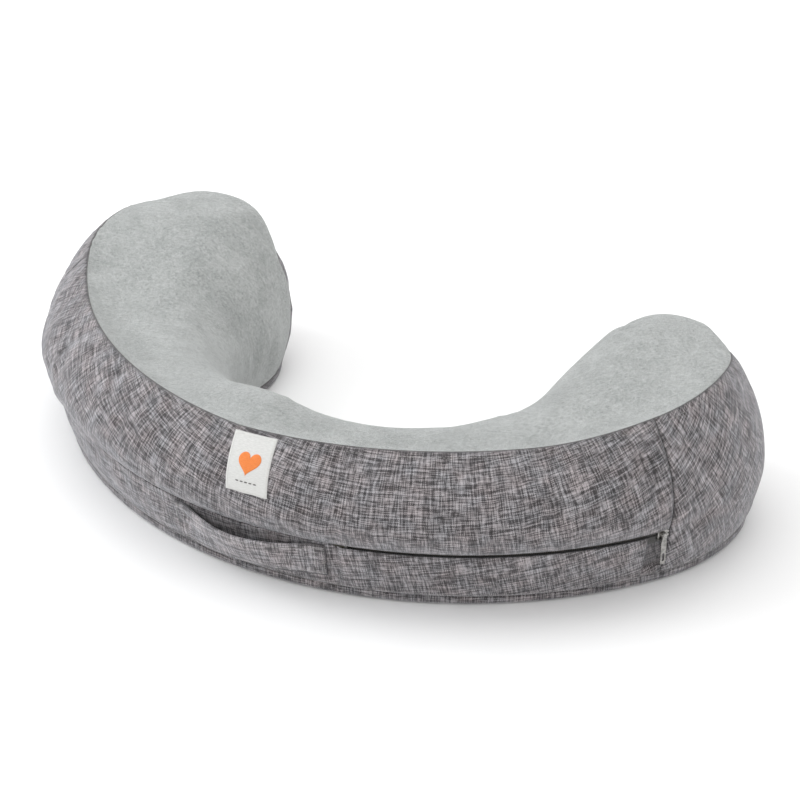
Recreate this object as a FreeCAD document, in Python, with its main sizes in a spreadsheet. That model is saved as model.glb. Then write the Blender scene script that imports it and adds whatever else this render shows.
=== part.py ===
import FreeCAD, Part
import math
import os

import Sketcher
from FreeCAD import Placement, Rotation, Vector

# ---------------------------------------------------------------------------
# Nursing pillow: a crescent of soft foam in a zipped fabric cover.
# Millimetres, +Z up.  The origin is under the middle of the pillow on the
# surface that it lies on; the long way is X, the crescent opens towards +Y
# and the woven front wall with the handle, label and zipper faces -Y.
# ---------------------------------------------------------------------------

doc = FreeCAD.newDocument("nursing_pillow")
sheet = doc.addObject("Spreadsheet::Sheet", "Dimensions")

DIMENSIONS = [
    # plan outline of the crescent: tangent arcs from the middle of the front
    ("front_radius", 377.67, "front arc radius"),
    ("front_angle", 58.0, "front arc half angle, degrees"),
    ("shoulder_radius", 165.89, "shoulder arc radius"),
    ("shoulder_angle", 35.05, "shoulder arc angle, degrees"),
    ("lobe_outer_radius", 102.66, "lobe arc radius, outer half"),
    ("lobe_outer_angle", 90.24, "lobe arc angle, outer half, degrees"),
    ("lobe_inner_radius", 105.79, "lobe arc radius, inner half"),
    ("lobe_inner_angle", 88.52, "lobe arc angle, inner half, degrees"),
    ("waist_radius", 137.24, "waist opening arc radius"),
    ("waist_angle", 91.81, "waist opening arc half angle, degrees"),
    ("outline_shift", 180.7, "front middle of the outline, distance in front of the origin"),
    # heights
    ("seam_front", 133.66, "top seam height at the middle"),
    ("seam_mid", 134.28, "top seam height at 40 percent of the way to the tip"),
    ("seam_lobe", 150.87, "top seam height at 75 percent of the way to the tip"),
    ("seam_tip", 122.65, "top seam height at the tip"),
    ("crest_front", 132.06, "crest height at the middle"),
    ("crest_mid", 121.09, "crest height at 40 percent of the way to the tip"),
    ("crest_lobe", 149.75, "crest height at 75 percent of the way to the tip"),
    ("crest_tip", 154.58, "crest height at the tip, before it domes down"),
    ("band_height", 55.35, "zipper line height"),
    ("inner_drop_start", 34.19, "start of the inner seam drop past the tip"),
    ("inner_drop_length", 100.45, "length of the inner seam drop"),
    ("base_seam_height", 9.44, "base seam height"),
    ("wall_tuck", 11.87, "how far the lower band tucks in at the floor"),
    # fabric and foam
    ("woven_thickness", 1.2, "woven fabric with its interlining"),
    ("plush_thickness", 2.5, "plush with its pile"),
    ("fit_gap", 0.6, "slack between cover and foam"),
    ("seam_gap", 0.25, "seam line between neighbouring panels"),
    ("side_seam", 373.0, "side seams, distance along the front outline from the middle"),
    # base tray
    ("base_floor", 1.6, "base panel thickness"),
    ("base_rim", 9.0, "height that the base panel turns up"),
    ("base_inset", 9.6, "base rim, distance inside the outline"),
    ("base_edge_round", 3.0, "rounding of the lower edge"),
    # zipper
    ("zip_height", 54.1, "middle of the zipper chain"),
    ("zip_start", 106.0, "bottom stop, distance along the front outline"),
    ("zip_end", 372.0, "top stops, distance along the front outline"),
    ("zip_rest", 365.6, "slider when the zipper is closed"),
    ("coil_size", 2.0, "coil width and depth"),
    ("chain_slit", 1.3, "running slit between the two coils"),
    ("tape_thickness", 0.6, "zipper tape thickness"),
    ("tape_width", 9.0, "zipper tape width"),
    ("slider_length", 9.0, "slider length along the chain"),
    ("slider_width", 8.4, "slider width across the chain"),
    ("slider_depth", 5.4, "slider depth through both plates"),
    ("slider_plate", 0.8, "slider plate thickness"),
    ("bridge_length", 5.0, "slider bridge length"),
    ("pull_length", 28.0, "pull tab length"),
    ("pull_width", 5.0, "pull tab width"),
    ("pull_thickness", 1.2, "pull tab thickness"),
    ("flap_end", 352.0, "end of the zipper flap, distance along the front outline"),
    ("flap_thickness", 0.8, "zipper flap thickness"),
    # handle and label
    ("handle_start", -57.0, "left end of the handle along the front outline"),
    ("handle_end", 88.0, "right end of the handle along the front outline"),
    ("handle_top", 54.0, "top edge of the handle"),
    ("handle_bottom", 17.0, "lower edge of the handle"),
    ("handle_thickness", 2.4, "handle thickness, two layers of fabric"),
    ("handle_bow", 13.0, "how far the handle stands off its backing at the top edge"),
    ("handle_bow_low", 7.0, "how far the handle stands off its backing at the lower edge"),
    ("label_width", 38.0, "label width"),
    ("label_height", 37.0, "label height, measured vertically"),
    ("label_middle", 19.2, "label middle along the front outline, at its top"),
    ("label_slant", 7.5, "sideways run of the label from top to bottom"),
]
for row, (alias, value, words) in enumerate(DIMENSIONS, start=1):
    sheet.set("A%d" % row, words)
    sheet.set("B%d" % row, "%g" % value)
    sheet.setAlias("B%d" % row, alias)
doc.recompute()


def dim(alias):
    return float(sheet.get(alias))


made = []          # (object, node name)


def bind(obj, prop, text):
    """Bind a property to the sheet; names in braces are sheet aliases."""
    for alias, _, _ in DIMENSIONS:
        text = text.replace("{%s}" % alias, "Dimensions.%s" % alias)
    obj.setExpression(prop, text)


# ---------------------------------------------------------------------------
# The outline and the wall profile
# ---------------------------------------------------------------------------
SHIFT = dim("outline_shift")
BAND = dim("band_height")
ZIP = dim("zip_height")
TUCK = dim("wall_tuck")
LOW = dim("base_seam_height")


def outline_arcs():
    """Right half of the plan outline, as arcs (cx, cy, signed R, heading, turn)."""
    arcs = []
    x, y, head = 0.0, -SHIFT, 0.0
    for r_name, a_name in (("front_radius", "front_angle"),
                           ("shoulder_radius", "shoulder_angle"),
                           ("lobe_outer_radius", "lobe_outer_angle"),
                           ("lobe_inner_radius", "lobe_inner_angle")):
        R, a = dim(r_name), math.radians(dim(a_name))
        cx, cy = x - R * math.sin(head), y + R * math.cos(head)
        arcs.append((cx, cy, R, head, a))
        head += a
        x, y = cx + R * math.sin(head), cy - R * math.cos(head)
    R, a = dim("waist_radius"), math.radians(dim("waist_angle"))
    # the waist arc is concave and its centre lies on the symmetry plane
    cy = y + math.sqrt(max(R * R - x * x, 0.0)) * (1 if math.cos(head) < 0 else -1)
    turn = math.pi - math.asin(min(1.0, x / R)) if cy < y else math.asin(min(1.0, x / R))
    arcs.append((0.0, cy, -R, math.pi + turn, turn))
    return arcs


ARCS = outline_arcs()
LENGTHS = [abs(R) * a for _, _, R, _, a in ARCS]
CUM = [0.0]
for l_ in LENGTHS:
    CUM.append(CUM[-1] + l_)
S_TIP = CUM[3]
S_ALL = CUM[5]


def on_outline(s):
    """Point and outward normal at the distance s along the outline."""
    side = 1.0 if s >= 0 else -1.0
    s = abs(s)
    i = 0
    while i < 4 and s >= CUM[i + 1]:
        i += 1
    cx, cy, R, head, _ = ARCS[i]
    sign = 1.0 if R > 0 else -1.0
    a = head + sign * (s - CUM[i]) / abs(R)
    return (side * (cx + R * math.sin(a)), cy - R * math.cos(a),
            side * math.sin(a), -math.cos(a))


def smooth(x, a, b):
    u = min(max((x - a) / (b - a), 0.0), 1.0)
    return u * u * (3.0 - 2.0 * u)


def through(x, values, knots=(0.0, 0.4, 0.75, 1.0)):
    """Monotone cubic through a few values."""
    x = min(max(x, knots[0]), knots[-1])
    n = len(knots)
    d = [(values[i + 1] - values[i]) / (knots[i + 1] - knots[i]) for i in range(n - 1)]
    m = [0.0] * n
    for i in range(1, n - 1):
        if d[i - 1] * d[i] > 0:
            h0, h1 = knots[i] - knots[i - 1], knots[i + 1] - knots[i]
            w1, w2 = 2 * h1 + h0, h1 + 2 * h0
            m[i] = (w1 + w2) / (w1 / d[i - 1] + w2 / d[i])

    def end(h0, h1, d0, d1):
        v = ((2 * h0 + h1) * d0 - h0 * d1) / (h0 + h1)
        if v * d0 <= 0:
            return 0.0
        if d0 * d1 <= 0 and abs(v) > 3 * abs(d0):
            return 3 * d0
        return v
    m[0] = end(knots[1] - knots[0], knots[2] - knots[1], d[0], d[1])
    m[-1] = end(knots[-1] - knots[-2], knots[-2] - knots[-3], d[-1], d[-2])
    i = 0
    while i < n - 2 and x > knots[i + 1]:
        i += 1
    h = knots[i + 1] - knots[i]
    u = (x - knots[i]) / h
    return ((2 * u ** 3 - 3 * u ** 2 + 1) * values[i] + (u ** 3 - 2 * u ** 2 + u) * h * m[i]
            + (-2 * u ** 3 + 3 * u ** 2) * values[i + 1] + (u ** 3 - u ** 2) * h * m[i + 1])


DROP_A = S_TIP + dim("inner_drop_start")
DROP_B = DROP_A + dim("inner_drop_length")


def seam_height(s):
    s = abs(s)
    h = through(s / S_TIP, (dim("seam_front"), dim("seam_mid"), dim("seam_lobe"), dim("seam_tip")))
    k = smooth(s, DROP_A, DROP_B)
    return h * (1 - k) + LOW * k


def wall_offset(s, z):
    """How far the cover's outer face stands outside the plan outline."""
    s = abs(s)
    x = s / S_TIP
    kin = 1.0 - smooth(s, DROP_A, DROP_B)
    low = min(max(1.0 - z / BAND, 0.0), 1.0) ** 1.3
    off = -TUCK * low * (0.3 + 0.7 * kin)
    off -= 6.6 * (1 - kin) * min(max(1.0 - (z - LOW) / 35.0, 0.0), 1.3) ** 1.3
    top = seam_height(s)
    if top > BAND:
        u = min(max((z - BAND) / (top - BAND), 0.0), 1.0)
        off += kin * through(x, (23.59, 26.18, 9.0, 9.48)) * 4 * u * (1 - u)
        off += kin * through(x, (-19.65, -31.45, -35.49, -10.71)) * u
    return off


def wall_point(s, z, extra=0.0):
    x, y, nx, ny = on_outline(s)
    off = wall_offset(s, z) + extra
    return Vector(x + off * nx, y + off * ny, z)


# ---------------------------------------------------------------------------
# Helpers for sewn panels: strips lofted along the outline
# ---------------------------------------------------------------------------
def spline(points):
    curve = Part.BSplineCurve()
    curve.interpolate(points)
    return curve.toShape()


def strip_wire(outer, inner):
    """Closed section: outer curve, edge, inner curve back, edge."""
    if len(outer) == 2:
        a, b = Part.makeLine(outer[0], outer[1]), Part.makeLine(inner[1], inner[0])
    else:
        a, b = spline(outer), spline(list(reversed(inner)))
    return Part.Wire([a, Part.makeLine(outer[-1], inner[-1]), b,
                      Part.makeLine(inner[0], outer[0])])


def loft(wires, ruled=False):
    shape = Part.makeLoft(wires, True, ruled)
    if shape.ShapeType != "Solid":
        shape = shape.Solids[0]
    if shape.Volume < 0:
        shape.reverse()
    return shape


def feature(name, shape):
    obj = doc.addObject("Part::Feature", name)
    obj.Label = name
    obj.Shape = shape
    obj.Placement = Placement()
    made.append((obj, name))
    return obj


def steps(a, b, n):
    return [a + (b - a) * i / (n - 1.0) for i in range(n)]


def wall_strip(s_values, low, high, face, back, n=7, ruled=False):
    """Panel that follows the wall between two heights and two offsets."""
    wires = []
    for s in s_values:
        z0 = low(s) if callable(low) else low
        z1 = high(s) if callable(high) else high
        zs = steps(z0, z1, n)
        wires.append(strip_wire([wall_point(s, z, face) for z in zs],
                                [wall_point(s, z, back) for z in zs]))
    return loft(wires, ruled)


def ring_segment(r0, r1, z0, z1, s0, s1):
    """Block of revolution about the front arc's axis."""
    R = dim("front_radius")
    a0, a1 = s0 / R, s1 / R
    face = Part.makePolygon([Vector(0, -r0, z0), Vector(0, -r1, z0), Vector(0, -r1, z1),
                             Vector(0, -r0, z1), Vector(0, -r0, z0)])
    solid = Part.Face(face).revolve(Vector(0, 0, 0), Vector(0, 0, 1), math.degrees(a1 - a0))
    solid.rotate(Vector(0, 0, 0), Vector(0, 0, 1), math.degrees(a0))
    solid.translate(Vector(0, R - SHIFT, 0))
    return solid


WOVEN = dim("woven_thickness")
PLUSH = dim("plush_thickness")
GAP = dim("seam_gap")
SIDE = dim("side_seam")
R1 = dim("front_radius")

# ---------------------------------------------------------------------------
# Woven panels
# ---------------------------------------------------------------------------
# the slit where the slider runs: the wall and band stop short of the chain
slit_top = ring_segment(R1 - 12, R1 + 20, ZIP - 3, ZIP + 5.2, dim("zip_start") - 4, SIDE + 2)
slit_low = ring_segment(R1 - 12, R1 + 20, ZIP - 4.8, BAND + 3, dim("zip_start") - 4, SIDE + 2)

front = wall_strip(steps(-SIDE + GAP, SIDE - GAP, 29), BAND + GAP,
                   lambda s: seam_height(s) - GAP, 0.0, -WOVEN, 9)
feature("front_wall_panel", front.cut(slit_top))

band = wall_strip(steps(-SIDE + GAP, SIDE - GAP, 29), LOW + 0.1, BAND - GAP, 0.0, -WOVEN, 5)
feature("lower_band_panel", band.cut(slit_low))

S_END = DROP_B - 12.0
for name, side in (("left_end_panel", -1.0), ("right_end_panel", 1.0)):
    stations = steps(SIDE + GAP, CUM[2], 6)[:-1] + steps(CUM[2], CUM[3], 9)[:-1] + \
        steps(CUM[3], S_END, 12)
    feature(name, wall_strip([side * s for s in stations], LOW + 0.1,
                             lambda s: max(seam_height(s) - GAP, LOW + 1.2), 0.0, -WOVEN, 9))


# ---------------------------------------------------------------------------
# The top: sections across the crescent from the outer to the inner seam
# ---------------------------------------------------------------------------
def top_section(t, drop, wall_in):
    """Section across the top at the share t of the way to the tip.

    drop is the depth under the cover's outer face, wall_in how far the two
    ends stand inside the woven wall.  Returns the points outer to inner and
    the two distances along the outline.
    """
    so = t * S_TIP
    si = S_ALL - t * (S_ALL - S_TIP)
    ho, hi = seam_height(so), seam_height(si)
    k = smooth(si, S_END - 45.0, S_END)        # 1 where the plush runs down to the base
    a = wall_point(so, ho, -wall_in)
    tuck = 6.6 * smooth(si, DROP_A, DROP_B)    # the plush tucks in towards the base seam
    low = min(max(1.0 - (hi - LOW) / 35.0, 0.0), 1.0) ** 1.3
    b = wall_point(si, hi, -wall_in * (1 - k) - drop * k + tuck * low)
    chord = math.hypot(b.x - a.x, b.y - a.y)
    ux, uy = (b.x - a.x) / chord, (b.y - a.y) / chord
    crest = through(t, (dim("crest_front"), dim("crest_mid"), dim("crest_lobe"), dim("crest_tip")))
    e = min(max(chord / (2 * dim("lobe_outer_radius") * 0.98), 0.0), 1.0)
    dome = math.sqrt(max(1 - (1 - e) ** 2, 0.0)) if t > 0.6 else 1.0
    hc = ho + (crest - ho) * dome
    rc = 0.25 + 0.03 * smooth(t, 0.15, 0.72)
    pq = 2.77
    pts = []
    for i in range(4):
        u = 1.0 - i / 4.0
        pts.append((rc * (1 - u) * chord, ho + (hc - ho) * (1 - u * u)))
    for i in range(10):
        th = math.pi / 2 * i / 9.0
        u = math.sin(th) ** (2 / pq)
        z = hi + (hc - hi) * (math.cos(th) ** (2 / pq) if i < 9 else 0.0)
        shift = -tuck * min(max(1.0 - (z - LOW) / 35.0, 0.0), 1.0) ** 1.3
        pts.append(((rc + (1 - rc) * u) * chord + shift, z))
    if drop:
        out = []
        for i, (d, z) in enumerate(pts):
            d0, z0 = pts[max(i - 1, 0)]
            d1, z1 = pts[min(i + 1, len(pts) - 1)]
            tx, tz = d1 - d0, z1 - z0
            n = math.hypot(tx, tz)
            if i == 0:
                out.append((d, z - drop))
            elif i == len(pts) - 1:
                out.append((d, z - drop * (1 - k)))
            else:
                out.append((d + drop * tz / n * (1.0 if d > 0.6 * chord else 0.3), z - drop * tx / n))
        pts = out
    return [Vector(a.x + ux * d, a.y + uy * d, z) for d, z in pts], so, si


T_END = 1.0 - 12.0 / S_TIP
ts = []
for i in range(16):
    ts.append(T_END * (1 - (1 - i / 15.0) ** 1.25))
T_VALUES = [-t for t in reversed(ts)] + ts[1:]


def mirrored(points):
    return [Vector(-p.x, p.y, p.z) for p in points]


def section_at(t, drop, wall_in):
    pts, so, si = top_section(abs(t), drop, wall_in)
    return mirrored(pts) if t < 0 else pts


wires = []
for t in T_VALUES:
    upper = section_at(t, 0.0, WOVEN + 0.3)
    lower = section_at(t, PLUSH, WOVEN + 0.3)
    wires.append(strip_wire(upper, lower))
feature("plush_top_panel", loft(wires))

# ---------------------------------------------------------------------------
# Foam core, one moulded crescent inside the cover
# ---------------------------------------------------------------------------
FOAM_IN = WOVEN + dim("fit_gap") + 0.7
FOAM_DROP = PLUSH + dim("fit_gap") + 0.1
FLOOR = dim("base_floor") + 0.3


def foam_wire(t):
    at = abs(t)
    pts, so, si = top_section(at, FOAM_DROP, FOAM_IN - 0.3)
    last = at > T_END - 1e-6

    def side_pts(s, z_top, first):
        zs = steps(FLOOR, z_top, 7)
        # slacker at the foot of the outer wall, where the cover turns in
        slack = 3.4 * (1.0 - smooth(abs(s), S_TIP, DROP_A))
        inset = FOAM_IN if slack else FOAM_IN - 0.3
        out = [wall_point(s, z, -inset - slack * (1.0 - smooth(z, 60.0, 110.0))) for z in zs]
        if last:
            out = [Vector(first.x, first.y, z) for z in zs]
        return out
    a_side = side_pts(so, pts[0].z, pts[0])
    b_side = side_pts(si, pts[-1].z, pts[-1])
    a_side[-1], b_side[-1] = pts[0], pts[-1]
    if t < 0:
        pts, a_side, b_side = mirrored(pts), mirrored(a_side), mirrored(b_side)
    return Part.Wire([spline(a_side), spline(pts), spline(list(reversed(b_side))),
                      Part.makeLine(b_side[0], a_side[0])])


foam = loft([foam_wire(t) for t in T_VALUES])
# the foam is pressed in behind the zipper so that the slider runs free
groove = ring_segment(R1 - 6.0, R1 + 30, ZIP - 9.5, ZIP + 9.5, dim("zip_start") - 12, SIDE + 5)
foam = foam.cut(groove)
feature("foam_core", foam.Solids[0])

# ---------------------------------------------------------------------------
# Base panel: a shallow tray of woven fabric, turned up all round
# ---------------------------------------------------------------------------
def plane_of(body, role):
    for f in body.Origin.OriginFeatures:
        if f.Role == role:
            return f
    raise RuntimeError(role)


def new_body(name):
    body = doc.addObject("PartDesign::Body", name)
    body.Label = name
    made.append((body, name))
    return body


def new_sketch(body, role, name, lift=None):
    sk = body.newObject("Sketcher::SketchObject", name)
    sk.AttachmentSupport = [(plane_of(body, role), "")]
    sk.MapMode = "FlatFace"
    if lift is not None:
        sk.AttachmentOffset = Placement(Vector(0, 0, lift), Rotation())
    return sk


def crescent(sk, inset_text, inset):
    """Closed loop of tangent arcs, inset from the plan outline."""
    loop = []
    for cx, cy, R, head, turn in ARCS:
        sign = 1.0 if R > 0 else -1.0
        loop.append((cx, cy, R - inset, head, head + sign * turn))
    full = [(loop[0][0], loop[0][1], loop[0][2], -loop[0][4], loop[0][4])]
    full += loop[1:4]
    last = loop[4]
    full.append((0.0, last[1], last[2], last[3], 2 * math.pi - last[3]))
    for cx, cy, R, h0, h1 in reversed(loop[1:4]):
        full.append((-cx, cy, R, 2 * math.pi - h1, 2 * math.pi - h0))
    ids = []
    names = ["front", "shoulder_r", "lobe_outer_r", "lobe_inner_r", "waist",
             "lobe_inner_l", "lobe_outer_l", "shoulder_l"]
    alias = {"front": "front_radius", "shoulder": "shoulder_radius",
             "lobe_outer": "lobe_outer_radius", "lobe_inner": "lobe_inner_radius",
             "waist": "waist_radius"}
    for cx, cy, R, h0, h1 in full:
        # angle on the circle: heading - 90 degrees for convex arcs
        a0, a1 = h0 - math.pi / 2, h1 - math.pi / 2
        if R < 0:
            a0, a1 = h1 + math.pi / 2, h0 + math.pi / 2
        circle = Part.Circle(Vector(cx, cy, 0), Vector(0, 0, 1), abs(R))
        ids.append(sk.addGeometry(Part.ArcOfCircle(circle, a0, a1), False))
    # each arc's start and end, in walking order
    ends = [(1, 2)] * 4 + [(2, 1)] + [(1, 2)] * 3
    for i in range(8):
        j = (i + 1) % 8
        sk.addConstraint(Sketcher.Constraint("Coincident", ids[i], ends[i][1], ids[j], ends[j][0]))
    for i, nm in enumerate(names):
        R = abs(full[i][2])
        c = sk.addConstraint(Sketcher.Constraint("Radius", ids[i], R))
        sk.renameConstraint(c, "r_" + nm)
        sign = "+" if nm == "waist" else "-"
        key = nm[:-2] if nm.endswith(("_r", "_l")) else nm
        bind(sk, "Constraints.r_" + nm, "{%s} %s (%s)" % (alias[key], sign, inset_text))
    return ids


base = new_body("base_panel")
outer_sketch = new_sketch(base, "XY_Plane", "base_outline")
crescent(outer_sketch, "{base_inset}", dim("base_inset"))
base_pad = base.newObject("PartDesign::Pad", "base_pad")
base_pad.Profile = outer_sketch
bind(base_pad, "Length", "{base_rim}")
doc.recompute()
low_edges = ["Edge%d" % (i + 1) for i, e in enumerate(base_pad.Shape.Edges)
             if abs(e.BoundBox.ZMin) < 1e-6 and abs(e.BoundBox.ZMax) < 1e-6]
base_round = base.newObject("PartDesign::Fillet", "base_round")
base_round.Base = (base_pad, low_edges)
bind(base_round, "Radius", "{base_edge_round}")
doc.recompute()
inner_sketch = new_sketch(base, "XY_Plane", "base_inside")
bind(inner_sketch, "AttachmentOffset.Base.z", "{base_floor}")
crescent(inner_sketch, "{base_inset} + {woven_thickness} + 0.2", dim("base_inset") + WOVEN + 0.2)
base_pocket = base.newObject("PartDesign::Pocket", "base_hollow")
base_pocket.Profile = inner_sketch
base_pocket.Reversed = True
bind(base_pocket, "Length", "{base_rim}")
doc.recompute()
base.Placement = Placement()


# ---------------------------------------------------------------------------
# Zipper.  Its parts are made at the front middle, about the front arc's axis,
# and turned along the arc into place.
# ---------------------------------------------------------------------------
def polygon_sketch(body, role, name, points):
    """Straight-sided sketch; every corner is dimensioned from the origin."""
    sk = new_sketch(body, role, name)
    n = len(points)
    for i in range(n):
        a, b = points[i], points[(i + 1) % n]
        sk.addGeometry(Part.LineSegment(Vector(a[0][0], a[1][0], 0), Vector(b[0][0], b[1][0], 0)), False)
    for i in range(n):
        sk.addConstraint(Sketcher.Constraint("Coincident", i, 2, (i + 1) % n, 1))
    for i in range(n):
        for j, kind in ((0, "DistanceX"), (1, "DistanceY")):
            value, text = points[i][j]
            c = sk.addConstraint(Sketcher.Constraint(kind, -1, 1, i, 1, value))
            nm = "p%d%s" % (i, "xy"[j])
            sk.renameConstraint(c, nm)
            if text:
                bind(sk, "Constraints." + nm, text)
    return sk


AXIS_Y = R1 - SHIFT


def about_axis(s):
    """Placement that turns a piece made at the front middle to distance s."""
    a = s / R1
    return Placement(Vector(0, AXIS_Y, 0), Rotation(Vector(0, 0, 1), math.degrees(a)))


def revolved(name, points, s0_text, s1_text, s_mid):
    """Piece of constant section that follows the front arc."""
    body = new_body(name)
    sk = polygon_sketch(body, "YZ_Plane", name + "_section", points)
    rev = body.newObject("PartDesign::Revolution", name + "_along_arc")
    rev.Profile = sk
    rev.ReferenceAxis = (sk, ["V_Axis"])
    rev.Midplane = True
    bind(rev, "Angle", "(%s - (%s)) / {front_radius} * 180 / pi" % (s1_text, s0_text))
    body.Placement = about_axis(s_mid)
    return body


def rz(r_off, z_off):
    """Sketch corner at a radial offset from the outline and a height offset
    from the zipper line.  The sketch plane's x is the row's Y."""
    return ((-(R1 + r_off), "-({front_radius} + (%g))" % r_off),
            (ZIP + z_off, "{zip_height} + (%g)" % z_off))


half_slit = dim("chain_slit") / 2
coil = dim("coil_size")
tape_w = dim("tape_width")
tape_t = dim("tape_thickness")
zip_mid = (dim("zip_start") + dim("zip_end")) / 2
Z0, Z1 = "{zip_start}", "{zip_end}"
# tapes lie behind the coils; the lower one follows the tucked-in band
revolved("zipper_tape_upper",
         [rz(-2.3, half_slit + 0.3), rz(-2.3, tape_w - 1.0), rz(-2.3 - tape_t, tape_w - 1.0),
          rz(-2.3 - tape_t, half_slit + 0.3)], Z0, Z1, zip_mid)
revolved("zipper_tape_lower",
         [rz(-2.3, -half_slit - 0.3), rz(-2.3, -3.9), rz(-3.9, -tape_w), rz(-3.9 - tape_t, -tape_w),
          rz(-2.3 - tape_t, -3.9), rz(-2.3 - tape_t, -half_slit - 0.3)], Z0, Z1, zip_mid)
for name, sign in (("zipper_coil_upper", 1.0), ("zipper_coil_lower", -1.0)):
    lo, hi = sign * half_slit, sign * (half_slit + coil)
    c = 0.45 * sign
    revolved(name,
             [rz(-2.25 + 0.45, lo), rz(-0.25 - 0.45, lo), rz(-0.25, lo + c), rz(-0.25, hi - c),
              rz(-0.25 - 0.45, hi), rz(-2.25 + 0.45, hi), rz(-2.25, hi - c), rz(-2.25, lo + c)],
             Z0, "{zip_end} - 1.5", zip_mid - 0.75)

# flap: the fold of the lower band that stands in front of the lower coil
flap_t = dim("flap_thickness")
# it stands clear of the slider at its top edge and lies close to the band below
flap_points = [(1.35, 0.2), (1.35, -4.6)]
for z, stand in ((-10.0, 1.5), (-20.0, 1.1), (-31.0, 0.8), (-42.2, 0.45)):
    flap_points.append((wall_offset(0.0, ZIP + z) + stand, z))
flap_poly = [rz(r + 0.0, z) for r, z in flap_points] + \
            [rz(r + flap_t, z) for r, z in reversed(flap_points)]
flap_mid = (dim("zip_start") - 3 + dim("flap_end")) / 2
revolved("zipper_flap", flap_poly, "({zip_start} - 3)", "{flap_end}", flap_mid)

# stops: two clips at the closed end, one box across both coils at the open end
def box(name, sizes, place):
    b = doc.addObject("Part::Box", name)
    for prop, (value, text) in zip(("Length", "Width", "Height"), sizes):
        setattr(b, prop, value)
        if text:
            bind(b, prop, text)
    b.Placement = place
    return b


def at_chain(s, x, r_off, z_off):
    """Placement of a local point given along the chain, outward and up."""
    return about_axis(s).multiply(Placement(Vector(x, -(R1 + r_off), ZIP + z_off), Rotation()))


clip_sizes = ((1.2, ""), (2.2, "{coil_size} + 0.2"), (1.9, "{coil_size} - 0.1"))
clip_u = box("top_stop_upper", clip_sizes, at_chain(dim("zip_end") - 1.2, 0, -0.05, half_slit + 0.1))
clip_l = box("top_stop_lower", clip_sizes, at_chain(dim("zip_end") - 1.2, 0, -0.05, -half_slit - coil))
stops = doc.addObject("Part::MultiFuse", "zipper_top_stops")
stops.Label = "zipper_top_stops"
stops.Shapes = [clip_u, clip_l]
made.append((stops, "zipper_top_stops"))

bottom = box("zipper_bottom_stop", ((2.4, ""), (2.6, ""), (2 * coil + 2 * half_slit + 0.8, "2 * {coil_size} + {chain_slit} + 0.8")),
             at_chain(dim("zip_start") - 2.6, 0, 0.1, -half_slit - coil - 0.4))
bottom.Label = "zipper_bottom_stop"
made.append((bottom, "zipper_bottom_stop"))

# ---------------------------------------------------------------------------
# Slider: two plates with side flanges round the chain, a neck between the
# coils at the leading end, and a bridge that carries the pull tab
# ---------------------------------------------------------------------------
slider = new_body("zipper_slider")
SL, SW, SD, SP = (dim("slider_length"), dim("slider_width"), dim("slider_depth"), dim("slider_plate"))
FACE = 1.1                                   # outer plate's face outside the outline
r_out, r_in = FACE, FACE - SD                # both plates' outer faces
slot0, slot1 = -1.95, -3.35                  # slot that the tapes pass through
yy = lambda r: -(R1 + r)
section = [
    (yy(r_out), -SW / 2), (yy(r_out), SW / 2), (yy(slot0), SW / 2), (yy(slot0), SW / 2 - SP),
    (yy(r_out - SP), SW / 2 - SP), (yy(r_out - SP), 0.35), (yy(r_in + SP), 0.35),
    (yy(r_in + SP), SW / 2 - SP), (yy(slot1), SW / 2 - SP), (yy(slot1), SW / 2), (yy(r_in), SW / 2),
    (yy(r_in), -SW / 2), (yy(slot1), -SW / 2), (yy(slot1), -SW / 2 + SP), (yy(r_in + SP), -SW / 2 + SP),
    (yy(r_in + SP), -0.35), (yy(r_out - SP), -0.35), (yy(r_out - SP), -SW / 2 + SP),
    (yy(slot0), -SW / 2 + SP), (yy(slot0), -SW / 2)]
sk = polygon_sketch(slider, "YZ_Plane", "slider_section",
                    [((y, ""), (ZIP + z, "{zip_height} + (%g)" % z)) for y, z in section])
pad = slider.newObject("PartDesign::Pad", "slider_plates")
pad.Profile = sk
pad.Midplane = True
bind(pad, "Length", "{slider_length}")
doc.recompute()
# the neck only fills the leading end: the rest of the channel is open
neck = new_sketch(slider, "XZ_Plane", "neck_relief")
x0, x1 = -SL / 2 - 1, SL / 2 - 2.2
cs = [(x0, ZIP - 0.6), (x1, ZIP - 0.6), (x1, ZIP + 0.6), (x0, ZIP + 0.6)]
for i in range(4):
    a, b = cs[i], cs[(i + 1) % 4]
    neck.addGeometry(Part.LineSegment(Vector(a[0], a[1], 0), Vector(b[0], b[1], 0)), False)
for i in range(4):
    neck.addConstraint(Sketcher.Constraint("Coincident", i, 2, (i + 1) % 4, 1))
    neck.addConstraint(Sketcher.Constraint("DistanceX", -1, 1, i, 1, cs[i][0]))
    neck.addConstraint(Sketcher.Constraint("DistanceY", -1, 1, i, 1, cs[i][1]))
lift_in = R1 + (r_in + SP)                   # cut only between the plates
neck.AttachmentOffset = Placement(Vector(0, 0, R1 + r_in + SP), Rotation())
cut = slider.newObject("PartDesign::Pocket", "neck_relief_cut")
cut.Profile = neck
cut.Reversed = True
bind(cut, "Length", "{slider_depth} - 2 * {slider_plate}")
doc.recompute()
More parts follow.
